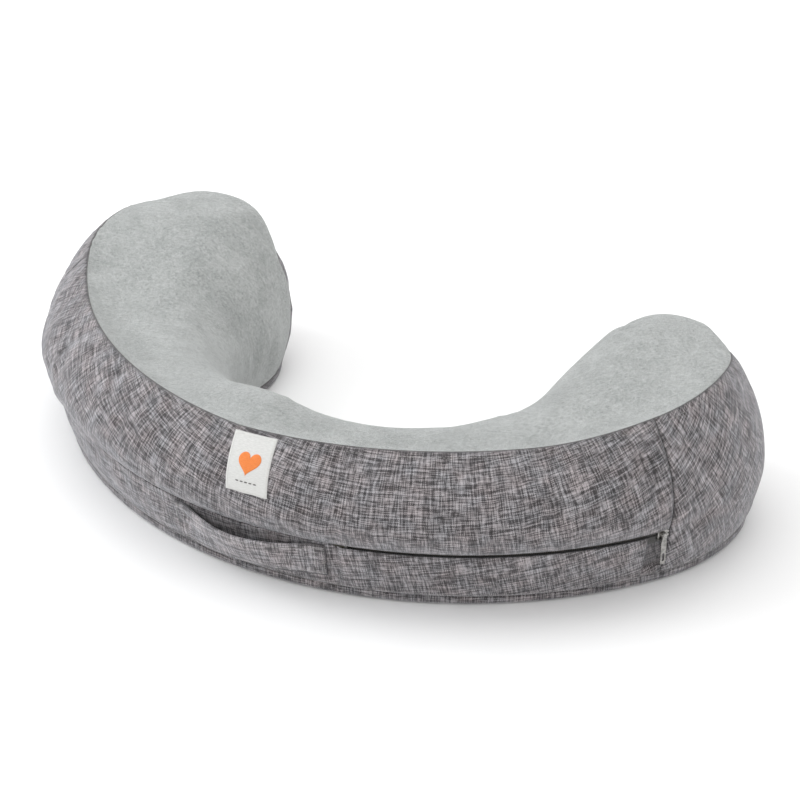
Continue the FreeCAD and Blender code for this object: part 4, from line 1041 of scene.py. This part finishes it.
# painted shadow in the notch left of the pull tab through the shade mask, and a light painted shade line along the
# band's upper edge
BANDP = woven_panel("lower_band", front_cols, lambda s: LOW, band_hi, 8, 51,
                    lambda S, V: cut_uv(S, V - 40.0, 3.0, 1500.0, (31.0, 17.0)), M_BAND, ["lower_band_panel"],
                    extra=band_extra, q_lo=q_low, q_hi=q_band_high, w_hi=1.8, calm=calm_band, thick=1.1, painted_shade_hi=0.1, shade=lambda s, z: 0.5 * notch_share(s, z),
                    sim=dict(rows=9, pressure=3.0, grow=0.02, cap=1.6), sag=0.3)

FLAP0, FLAP1 = 97.0, 352.0
FLAP_Z = np.array((10.85, 23.1, 34.1, 44.1, 49.5, 54.3))
FLAP_R = np.array([float(wall_offset(0.0, z)) + g for z, g in ((10.85, 0.45), (23.1, 0.8), (34.1, 1.1), (44.1, 1.5))] + [1.35, 1.35]) + 0.8


def flap_extra(s, z):
    r = np.interp(z, FLAP_Z, FLAP_R)
    grow = smooth(s, FLAP0 - 1, FLAP0 + 4.5)
    wave = 0.35 * waves(s, 77, 22, 60) * smooth(z, 22, 50) * smooth(z, 54.4, 50.0)
    return (r - wall_offset(0.0 * s, z) + 0.0 * wave) * grow - 0.5 * (1 - grow)


flap_cols = edged(FLAP1 - FLAP0, 58)[0] + FLAP0


def q_flap_high(s):
    x, y, nx, ny = outline(s)
    ex = flap_extra(s, np.full_like(s, 54.3)) - 0.18
    return wall(s, np.full_like(s, 54.3)) + np.stack((nx * ex, ny * ex, -0.1 + 0 * nx), -1)


# painted shade along the flap's upper edge, stronger towards the right, and at its end beside the pull tab
FLAP = woven_panel("zipper_cover_flap", flap_cols, lambda s: LOW, lambda s: 54.3, 8, 71,
                   lambda S, V: cut_uv(S, V - 40.0, 3.0, 1500.0, (31.0, 17.0)), M_BAND, ["zipper_flap"],
                   ends=(False, True), extra=flap_extra, q_lo=q_low, q_hi=q_flap_high, painted_shade_hi=lambda s: 0.1 + 0.3 * smooth(s, 150, 330), painted_shade_end=0.7, w_hi=1.5, thick=0.75, side_depth=1.3,
                   end_w=1.8, sag=0.0, calm=lambda s, z: 0.5 * (1 - smooth(z, 36, 46)))

end_cols = np.concatenate((SIDE + EDGE, np.linspace(SIDE + 14.0, 775.0, 92)))
for side, nm in ((1.0, "right"), (-1.0, "left")):
    cols = np.sort(side * end_cols)
    e = woven_panel(nm + "_end_wall", cols, lambda s: LOW, lambda s: max(float(seam_height(s)), LOW + 0.4), 26,
                    91 if side > 0 else 92,
                    lambda S, V, k=side: cut_uv(S - k * SIDE, V, 24.0 * k, 420.0 if k > 0 else 420.0, (250.0 * k, 90.0)), M_END,
                    [nm + "_end_panel"], ends=(side > 0, side < 0), q_lo=q_low, q_hi=q_top, thick=1.1,
                    sim=dict(rows=19, pressure=4.0, grow=0.03, cap=1.8))
    if side > 0:
        RIGHT = e
    else:
        LEFT = e

# ---------------------------------------------------------------------------
# Base
# ---------------------------------------------------------------------------
RIM = ((-9.5, 8.0), (-9.6, 6.2), (-9.7, 4.6), (-10.1, 3.0), (-10.9, 1.6), (-12.2, 0.6), (-14.0, 0.1), (-17.0, 0.0))


def base_curve(t):
    at, sg = abs(t), (1.0 if t >= 0 else -1.0)
    so, si = sg * at * S_TIP, sg * (S_ALL - at * (S_ALL - S_TIP))

    def rim(s):
        x, y, nx, ny = outline(s)
        pts = [wall(s, LOW)]
        for off, z in RIM:
            pts.append(np.array([x + off * nx, y + off * ny, z]))
        return np.array(pts)
    a, b = rim(si), rim(so)[::-1]
    flat = a[-1] + (b[0] - a[-1]) * np.linspace(0, 1, 60)[1:-1, None]
    pts = np.concatenate((a, flat, b))
    q = np.linspace(0, len(pts) - 1, 300)
    i = np.clip(q.astype(int), 0, len(pts) - 2)
    return pts[i] + (pts[i + 1] - pts[i]) * (q - i)[:, None]


bc = np.linspace(-T_LAST, T_LAST, 215)
P, rows, L = make_panel(dict(cols=bc, curve=base_curve, n_mid=30))
N = grid_normals(P)
s_in = np.sign(bc) * (S_ALL - np.abs(bc) * (S_ALL - S_TIP))
qi, qo = q_low(s_in), q_low(bc * S_TIP)
r0, r1 = roll(rows, 3.0), roll(L[:, None] - rows, 3.0)
both = np.maximum(1.0, r0 + r1)
BASE = P + (r0 / both)[..., None] * (qi - P[:, 0])[:, None] + (r1 / both)[..., None] * (qo - P[:, -1])[:, None]
rim_pucker = puckers((bc * S_TIP)[:, None] * np.ones_like(rows), L[:, None] - rows, 61, 0.35, 6.0, 9, 24)
BASE = BASE + N * (rim_pucker * smooth(BASE[..., 2], 1.0, 4.0))[..., None]
BASE[..., 2] = np.maximum(BASE[..., 2], 0.0)
# painted shade along both edges of the base, written to the seam attribute
near = 0.2 * np.exp(-(np.minimum(rows, L[:, None] - rows) / 0.9) ** 1.2)
base = shell("base_cover", BASE, N, np.stack(((bc * S_TIP)[:, None] + 0 * rows, L[:, None] - rows), -1) + 500.0, 1.1, near)
finish_piece(base, M_BASE_PAINTED_DARKER, ["base_panel"])
print("panels ready")

# ---------------------------------------------------------------------------
# Foam core: the stuffing inside the cover
# ---------------------------------------------------------------------------
def foam_loop(t):
    at, sg = abs(t), (1.0 if t >= 0 else -1.0)
    so, si = at * S_TIP, S_ALL - at * (S_ALL - S_TIP)
    p = top_curve(at)
    step = np.gradient(p, axis=0)
    tan = step / np.maximum(np.linalg.norm(step, axis=1, keepdims=True), 1e-9)
    across = p[-1, :2] - p[0, :2]
    across = np.array([*(across / np.linalg.norm(across)), 0.0])
    up = np.array([0, 0, 1.0])
    n = np.stack([tan @ up * -1, 0 * tan[:, 0], tan @ across], 1)
    nn = n[:, :1] * across + n[:, 2:] * up
    nn /= np.maximum(np.linalg.norm(nn, axis=1, keepdims=True), 1e-9)
    p = p - nn * 6.5

    def side(s, top):
        z = np.linspace(2.4, max(top - 4.0, 3.0), 40)
        groove = 7.0 * float(smooth(s, 92, 102) * (1 - smooth(s, 378, 388))) if sg > 0 and s < S_TIP else 0.0
        win = smooth(z, ZIP - 12, ZIP - 8) * (1 - smooth(z, ZIP + 8, ZIP + 12))
        return wall(np.full(40, s), z, -5.6 - groove * win - 3.0 * (z < 4))
    a, b = side(so, float(seam_height(so))), side(si, float(seam_height(si)))
    cut = slice(6, -6)
    loop = np.concatenate((a, p[cut], b[::-1]))
    d = np.concatenate(([0.0], np.cumsum(np.linalg.norm(np.diff(loop, axis=0), axis=1))))
    q = np.linspace(0, d[-1], 74)
    loop = np.stack([np.interp(q, d, loop[:, k]) for k in range(3)], 1)
    flat = loop[-1] + (loop[0] - loop[-1]) * np.linspace(0, 1, 16)[1:-1, None]
    loop = np.concatenate((loop, flat))
    if sg < 0:
        loop[:, 0] *= -1
    return loop


ft = np.linspace(-(1 - 16.0 / S_TIP), 1 - 16.0 / S_TIP, 121)
F = np.array([foam_loop(t) for t in ft])
F[..., 2] = np.maximum(F[..., 2], 2.4)
nf = F.shape[1]
faces = grid_faces(len(ft), nf, wrap_r=True)
cap_a, cap_b = F[0].mean(0), F[-1].mean(0)
verts = np.concatenate((F.reshape(-1, 3), [cap_a, cap_b]))
k = len(verts)
faces += [(k - 2, (r + 1) % nf, r)[::-1] if False else (k - 2, r, (r + 1) % nf) for r in range(nf)]
last = (len(ft) - 1) * nf
faces += [(k - 1, last + (r + 1) % nf, last + r) for r in range(nf)]
foam = mesh_object("foam_filling", verts, faces)
finish_piece(foam, M_FOAM, ["foam_core"])

# ---------------------------------------------------------------------------
# Dark tubes in the seam grooves as painted shade, topstitching
# ---------------------------------------------------------------------------
# dark tubes laid in the seam grooves along the top, the base and the upright seams: painted shade for the narrow gaps
ss = np.linspace(-DROP_B + 3, DROP_B - 3, 420)
tips = np.abs(ss)
top_line = q_top(ss)
inner_s = np.concatenate((np.linspace(DROP_B - 3, S_ALL, 70), -np.linspace(S_ALL, DROP_B - 3, 70)[1:]))
low_line = q_low(np.linspace(-S_ALL + 0.01, S_ALL - 0.01, 620))
paths = [(top_line, False), (low_line, True)]
for sg in (1.0, -1.0):
    z = np.linspace(LOW + 1, float(seam_height(SIDE)) - 1.0, 60)
    x, y, nx, ny = outline(sg * SIDE)
    paths.append((wall(np.full(60, sg * SIDE), z) - np.array([nx, ny, 0.0]) * 2.6, False))
seam_shade_tubes = tube(paths, 0.55, 6, "seam_shade_tubes", up=(0.01, 0.02, 1))
finish_piece(seam_shade_tubes, M_DARK_THREAD_AND_SEAM_SHADE, [])


def run_on(panel, s, e, from_top):
    L = np.interp(s, panel["cols"], panel["L"])
    d = L - e if from_top else e + 0 * L
    p = sample_grid(panel["P"], panel["cols"], panel["rows"], s, d)
    n = sample_grid(panel["N"], panel["cols"], panel["rows"], s, d)
    return p, n


runs = [run_on(WALL, np.linspace(-SIDE + 5, SIDE - 5, 500), 5.6, True),
        run_on(RIGHT, np.linspace(SIDE + 5, 690, 240), 5.6, True),
        run_on(LEFT, np.linspace(-690, -SIDE - 5, 240), 5.6, True)]
top_stitch = stitches("top_seam_stitches", runs, 2.6, 0.9, 0.27, 0.02)
finish_piece(top_stitch, M_THREAD, ["top_seam_stitching"])
runs = [run_on(BANDP, np.linspace(-SIDE + 5, FLAP0 + 6, 380), 3.0, False),
        run_on(FLAP, np.linspace(FLAP0 + 10, FLAP1 - 3, 220), 3.0, False),
        run_on(BANDP, np.linspace(FLAP1 + 2, SIDE - 4, 16), 3.0, False),
        run_on(RIGHT, np.linspace(SIDE + 4, 742, 300), 3.0, False),
        run_on(LEFT, np.linspace(-742, -SIDE - 4, 300), 3.0, False)]
low_stitch = stitches("base_seam_stitches", runs, 2.6, 0.9, 0.25, 0.0)
finish_piece(low_stitch, M_THREAD, ["base_seam_stitching"])

# ---------------------------------------------------------------------------
# Carry handle
# ---------------------------------------------------------------------------
H0, H1, HT, SEWN = -57.0, 88.0, 2.4, 11.0


def strap_bow(s):
    x = (s - H0 - SEWN) / (H1 - H0 - 2 * SEWN)
    return np.where((x > 0) & (x < 1), np.sin(math.pi * clip01(x)), 0.0)


def strap_edge(s):
    b = strap_bow(s)
    mid = (s - (H0 + H1) / 2) / ((H1 - H0) / 2)
    return 17.0 + 4.0 * mid - 0.5 * b, 54.0 - 3.0 * b, b


half = HT / 2
across, depth = [], []
flat_f = np.concatenate((np.linspace(-1, -0.86, 4), np.linspace(-0.86, 0.86, 22)[1:-1], np.linspace(0.86, 1, 4)))
for f in flat_f:
    across.append(f); depth.append(1.0)
for q in np.linspace(math.pi / 2, -math.pi / 2, 7)[1:-1]:
    across.append(1.0 + 0.0 * q); depth.append(math.sin(q))
nb = len(across)
for f in flat_f[::-1]:
    across.append(f); depth.append(-1.0)
for q in np.linspace(-math.pi / 2, math.pi / 2, 7)[1:-1]:
    across.append(-1.0); depth.append(math.sin(q))
across, depth = np.array(across), np.array(depth)
hs = edged(H1 - H0, 60, np.array((0.0, 0.15, 0.4, 0.9, 1.8, 3.2, 5.0)))[0] + H0
rings, uvs = [], []
for s in hs:
    z0, z1, b = (float(v) for v in strap_edge(s))
    end = min(s - H0, H1 - s)
    thin = math.sqrt(max(1 - (1 - min(end / 1.3, 1.0)) ** 2, 0.0)) * 0.92 + 0.08
    tall = 1.0 - 0.02 * (1 - min(end / 1.6, 1.0)) ** 2
    zc, hz = (z0 + z1) / 2, (z1 - z0) / 2 * tall
    # rounded folds along both edges
    w = across * (hz - 1.1) + 1.1 * np.sign(across) * (np.abs(across) > 0.999) * np.sqrt(np.maximum(1 - depth ** 2, 0))
    z = zc + w + 0.5 * float(waves(s, 205, 30, 80)) * b * clip01(w / hz)
    u = clip01((z - z0) / (z1 - z0))
    g = 0.3 + b * (4.2 + 9.2 * u)
    puff = 0.35 * (1 - np.abs(across) ** 4) * (depth > 0)
    near_end = math.exp(-max(end - 9.0, 0) / 16.0) * float(smooth(end, 3, 12))
    crease = 0.6 * near_end * waves(z * 1.0, 41 if s < 0 else 43, 7, 18) * (1 - np.abs(across) ** 6)
    drag = 0.7 * b * waves(z + 0.35 * s, 57, 18, 50) * (1 - 0.5 * np.abs(across))
    r = g + half + (half * thin) * depth + puff * thin + np.where(depth > -2, crease + 0.5 * drag, 0)
    rings.append(wall(np.full(len(z), s), z, r))
    uvs.append(np.stack((np.full(len(z), s), np.cumsum(np.concatenate(([0], np.abs(np.diff(w)) + np.abs(np.diff(depth)) * half)))), 1))
STRAP = np.array(rings)
verts = STRAP.reshape(-1, 3)
m = len(across)
faces = grid_faces(len(hs), m, wrap_r=True)
# the rounded ends close on a seam of quads between the two faces
for base_i, flip in ((0, False), ((len(hs) - 1) * m, True)):
    for k in range(nb - 1):
        back = m - 5 - 1 - k
        if k < len(flat_f) - 1:
            q = (base_i + k, base_i + k + 1, base_i + len(flat_f) + 5 + len(flat_f) - 2 - k, base_i + len(flat_f) + 5 + len(flat_f) - 1 - k)
            faces.append(q if flip else q[::-1])
    for ring in (list(range(len(flat_f) - 1, len(flat_f) + 6)), list(range(2 * len(flat_f) + 4, m)) + [0]):
        q = tuple(base_i + r for r in ring)
        faces.append(q if flip else q[::-1])
bow_at = strap_bow(hs)[:, None]
end_at = np.minimum(hs - H0, H1 - hs)[:, None]
# painted shadow lines on the strap: along its lower edge, along its upper edge near the sewn ends, and around both
# ends; written to the seam attribute
painted_shadow_low_edge = np.exp(-((across[None] + 1.0) * 18.5 / 0.9) ** 2) * 0.75
painted_shadow_top_edge = np.exp(-((1.0 - across[None]) * 18.5 / 0.9) ** 2) * 0.7 * (1 - smooth(bow_at, 0.1, 0.4))
strap_painted_shade = np.maximum(np.maximum(painted_shadow_low_edge, painted_shadow_top_edge), 0.85 * np.exp(-(end_at / 0.9) ** 2) + 0 * across[None])
strap = mesh_object("carry_handle", verts, faces, np.concatenate(uvs), near=strap_painted_shade)
finish_piece(strap, M_STRAP_PAINTED_LIGHTER, ["handle_strap"])

nstrap = grid_normals(np.concatenate((STRAP, STRAP[:, :1]), 1))[:, :m]


def strap_at(s, f):
    """Point and normal on the strap's outer face at the share f of its width, -1..1."""
    s, f = np.broadcast_arrays(np.asarray(s, float), np.asarray(f, float))
    fi = np.interp(s, hs, np.arange(len(hs)))
    fj = np.interp(f, flat_f, np.arange(len(flat_f)))
    A = STRAP[:, :len(flat_f)]
    p = cubic(A, fi, fj)
    x, y, nx, ny = outline(s)
    return p, np.stack((nx, ny, 0.25 + 0 * nx), -1)


mid_s = np.linspace(H0 + 2, H1 - 2, 160)
runs = [strap_at(mid_s, 0.80), strap_at(mid_s, -0.80)]
edge_rows = stitches("handle_edge_stitches", runs, 2.7, 0.9, 0.28, 0.08)
finish_piece(edge_rows, M_THREAD, [])
runs = []
for a, b in ((H0 + 1.6, H0 + SEWN - 1.6), (H1 - SEWN + 1.6, H1 - 1.6)):
    for s in (a, b):
        runs.append(strap_at(np.full(40, s), np.linspace(-0.86, 0.86, 40)))
    for f in (-0.86, 0.86):
        runs.append(strap_at(np.linspace(a, b, 12), np.full(12, f)))
box_rows = stitches("handle_end_stitches", runs, 2.1, 0.7, 0.3, 0.1)
finish_piece(box_rows, M_THREAD, ["handle_end_stitching"])

# ---------------------------------------------------------------------------
# Label with a plain embroidered heart
# ---------------------------------------------------------------------------
def on_label(a, b, extra):
    a, b = np.broadcast_arrays(np.asarray(a, float), np.asarray(b, float))
    z = LABEL_Z + b
    off = wall_offset(LABEL_S, z)
    s = LABEL_S + R1 * np.arcsin(a / (R1 + off))
    x, y, nx, ny = outline(s)
    o = wall_offset(s, z) + extra
    # the cloth leans back towards the top, so the stand-off follows its face
    return np.stack((x + o * nx, y + o * ny, z), -1)


ca, cb = np.linspace(-1, 1, 33), np.linspace(-1, 1, 41)
A, B = np.meshgrid(ca, cb, indexing="ij")
lean = -SLANT * B / 2
hem = clip01((1 - np.maximum(np.abs(A), np.abs(B))) / 0.06)
lift = 0.75 + 0.35 * np.sqrt(1 - (1 - hem) ** 2) + 0.5 * np.exp(-((A - 0.9) ** 2 + (B + 0.95) ** 2) / 0.03)
lift = lift + 0.25 * np.exp(-((B + 1) / 0.1) ** 2) * np.cos(A * 7.0 + 1)
LP = on_label(A * LW / 2 + lean, B * (LH / 2 - 0.3), lift)
LN = -grid_normals(LP) if np.sum(grid_normals(LP)[16, 20] * np.array([0, -1, 0])) < 0 else grid_normals(LP)
label = shell("label_patch_cloth", LP, LN, np.stack((A * LW / 2, B * LH / 2 * 1.3), -1), 0.6)
finish_piece(label, M_SATIN, ["label_patch"])


def on_patch(a, b):
    """Face of the patch at a and b millimetres from its middle (b before the lean)."""
    fi = np.interp(a - -SLANT * b / LH, ca * LW / 2, np.arange(33))
    fj = np.interp(b, cb * (LH / 2 - 0.3), np.arange(41))
    return cubic(LP, fi, fj), cubic(LN, fi, fj)


runs = []
xx, zz = LW / 2 - 1.7, LH / 2 - 1.6
for (a0, b0), (a1, b1) in (((-xx, zz), (xx, zz)), ((xx, zz), (xx, -zz)), ((xx, -zz), (-xx, -zz)), ((-xx, -zz), (-xx, zz))):
    q = np.linspace(0, 1, 30)
    bb = b0 + (b1 - b0) * q
    runs.append(on_patch(a0 + (a1 - a0) * q - SLANT * bb / LH, bb))
label_stitch = stitches("label_stitches", runs, 1.9, 0.7, 0.22, 0.05)
finish_piece(label_stitch, M_LABELTHREAD, ["label_stitching"])
bb = np.full(24, -10.0)
runs = [on_patch(np.linspace(-10.0, 10.0, 24) - SLANT * -10.0 / LH - 0.4, bb)]
label_line = stitches("label_grey_line", runs, 3.2, 1.0, 0.5, 0.1)
finish_piece(label_line, M_DARK_THREAD_AND_SEAM_SHADE, [])

hq = np.linspace(0, 2 * math.pi, 72, endpoint=False)
hx = 16 * np.sin(hq) ** 3 * 0.62 - 0.4
hz = (13 * np.cos(hq) - 5 * np.cos(2 * hq) - 2 * np.cos(3 * hq) - np.cos(4 * hq)) * 0.5 + 2.5
cx0, cz0 = -0.4, 2.2
verts, faces, hv = [], [], []
rings_f = (1.0, 0.985, 0.95, 0.88, 0.75, 0.6, 0.45, 0.3, 0.15)
for f in rings_f:
    a, b = cx0 + (hx - cx0) * f, cz0 + (hz - cz0) * f
    p, n = on_patch(a, b)
    h = 0.04 + 0.5 * math.sqrt(max(1 - f ** 6, 0.0))
    ridge = 0.10 * np.abs(np.sin((b + 0.12 * a) * math.pi / 0.84))
    verts.extend(p + n * (h + ridge * (f < 0.99))[:, None] if not np.isscalar(h + ridge * (f < 0.99)) else p + n * h)
    hv.extend(np.stack((a, b), -1))
p, n = on_patch(np.array([cx0]), np.array([cz0]))
verts.extend(p + n * 0.56)
hv.append((cx0, cz0))
R = len(hq)
for i in range(len(rings_f) - 1):
    for k in range(R):
        k1 = (k + 1) % R
        faces.append((i * R + k, (i + 1) * R + k, (i + 1) * R + k1, i * R + k1))
ctr = len(rings_f) * R
for k in range(R):
    faces.append(((len(rings_f) - 1) * R + k, ctr, (len(rings_f) - 1) * R + (k + 1) % R))
back = len(verts)
p, n = on_patch(hx, hz)
verts.extend(p - n * 0.15)
hv.extend(np.stack((hx, hz), -1))
p, n = on_patch(np.array([cx0]), np.array([cz0]))
verts.extend(p - n * 0.15)
hv.append((cx0, cz0))
for k in range(R):
    k1 = (k + 1) % R
    faces.append((back + k, k, k1, back + k1))
    faces.append((back + k1, back + R, back + k))
heart = mesh_object("label_heart", np.array(verts), faces, np.array(hv))
finish_piece(heart, M_EMBLEM, ["label_emblem"])

# ---------------------------------------------------------------------------
# Zipper
# ---------------------------------------------------------------------------
def polar(s, r, z):
    a = np.asarray(s, float) / R1
    return np.stack(np.broadcast_arrays((R1 + r) * np.sin(a), AXIS_Y - (R1 + r) * np.cos(a), z + 0 * a), -1)


def ribbon(name, s0, s1, profile, n, mat, nodes):
    sv = np.linspace(s0, s1, n)
    pr = np.array(profile, float)
    V = np.array([[polar(s, r, z) for r, z in pr] for s in sv])
    m = len(pr)
    faces = grid_faces(n, m, wrap_r=True) + [tuple(range(m))[::-1], tuple((n - 1) * m + k for k in range(m))]
    d = np.concatenate(([0.0], np.cumsum(np.linalg.norm(np.diff(pr, axis=0), axis=1))))
    uv = np.stack(np.broadcast_arrays(sv[:, None], d[None]), -1).reshape(-1, 2)
    o = mesh_object(name, V.reshape(-1, 3), faces, uv, smooth_shade=False)
    return finish_piece(o, mat, nodes)


ribbon("zip_tape_upper", 106.0, 372.0, [(-2.3, ZIP + 0.95), (-2.3, ZIP + 4.0), (-2.3, ZIP + 8.0), (-2.9, ZIP + 8.0), (-2.9, ZIP + 0.95)],
       90, M_TAPE, ["zipper_tape_upper"])
ribbon("zip_tape_lower", 106.0, 372.0, [(-2.3, ZIP - 0.95), (-2.3, ZIP - 3.9), (-3.9, ZIP - 9.0), (-4.5, ZIP - 9.0), (-2.9, ZIP - 3.9), (-2.9, ZIP - 0.95)],
       90, M_TAPE, ["zipper_tape_lower"])
for nm, sg in (("upper", 1.0), ("lower", -1.0)):
    turns = (370.5 - 106.0) / 1.5
    q = np.linspace(0, turns, int(turns * 11))
    s = 106.0 + q * 1.5
    ang = 2 * math.pi * q
    r = -1.25 + 0.74 * np.cos(ang)
    z = ZIP + sg * (1.62 + 0.78 * np.sin(ang))
    core = polar(np.linspace(106.0, 370.5, 200), -1.25, ZIP + sg * 1.62)
    o = tube([(polar(s, r, z), False), (core, False)], 0.26, 5, "zip_coil_" + nm, up=(0.3, 0.2, 1.0))
    finish_piece(o, M_COIL, ["zipper_coil_" + nm])

care_s = np.linspace(190.0, 225.0, 20)
CP = np.array([wall(np.full(12, s), np.linspace(14.0, 38.0, 12), -1.9) for s in care_s])
care = shell("care_label_cloth", CP, grid_normals(CP), np.stack(np.broadcast_arrays(care_s[:, None], np.linspace(0, 24, 12)[None]), -1), 0.3)
finish_piece(care, M_SATIN, ["care_label"])

for node in ("zipper_slider", "zipper_pull_tab", "zipper_top_stops", "zipper_bottom_stop"):
    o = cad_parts[node]
    for slot in o.material_slots:
        slot.material = M_COIL if node == "zipper_bottom_stop" else M_METAL
    if not o.material_slots:
        print("no slots on", node)
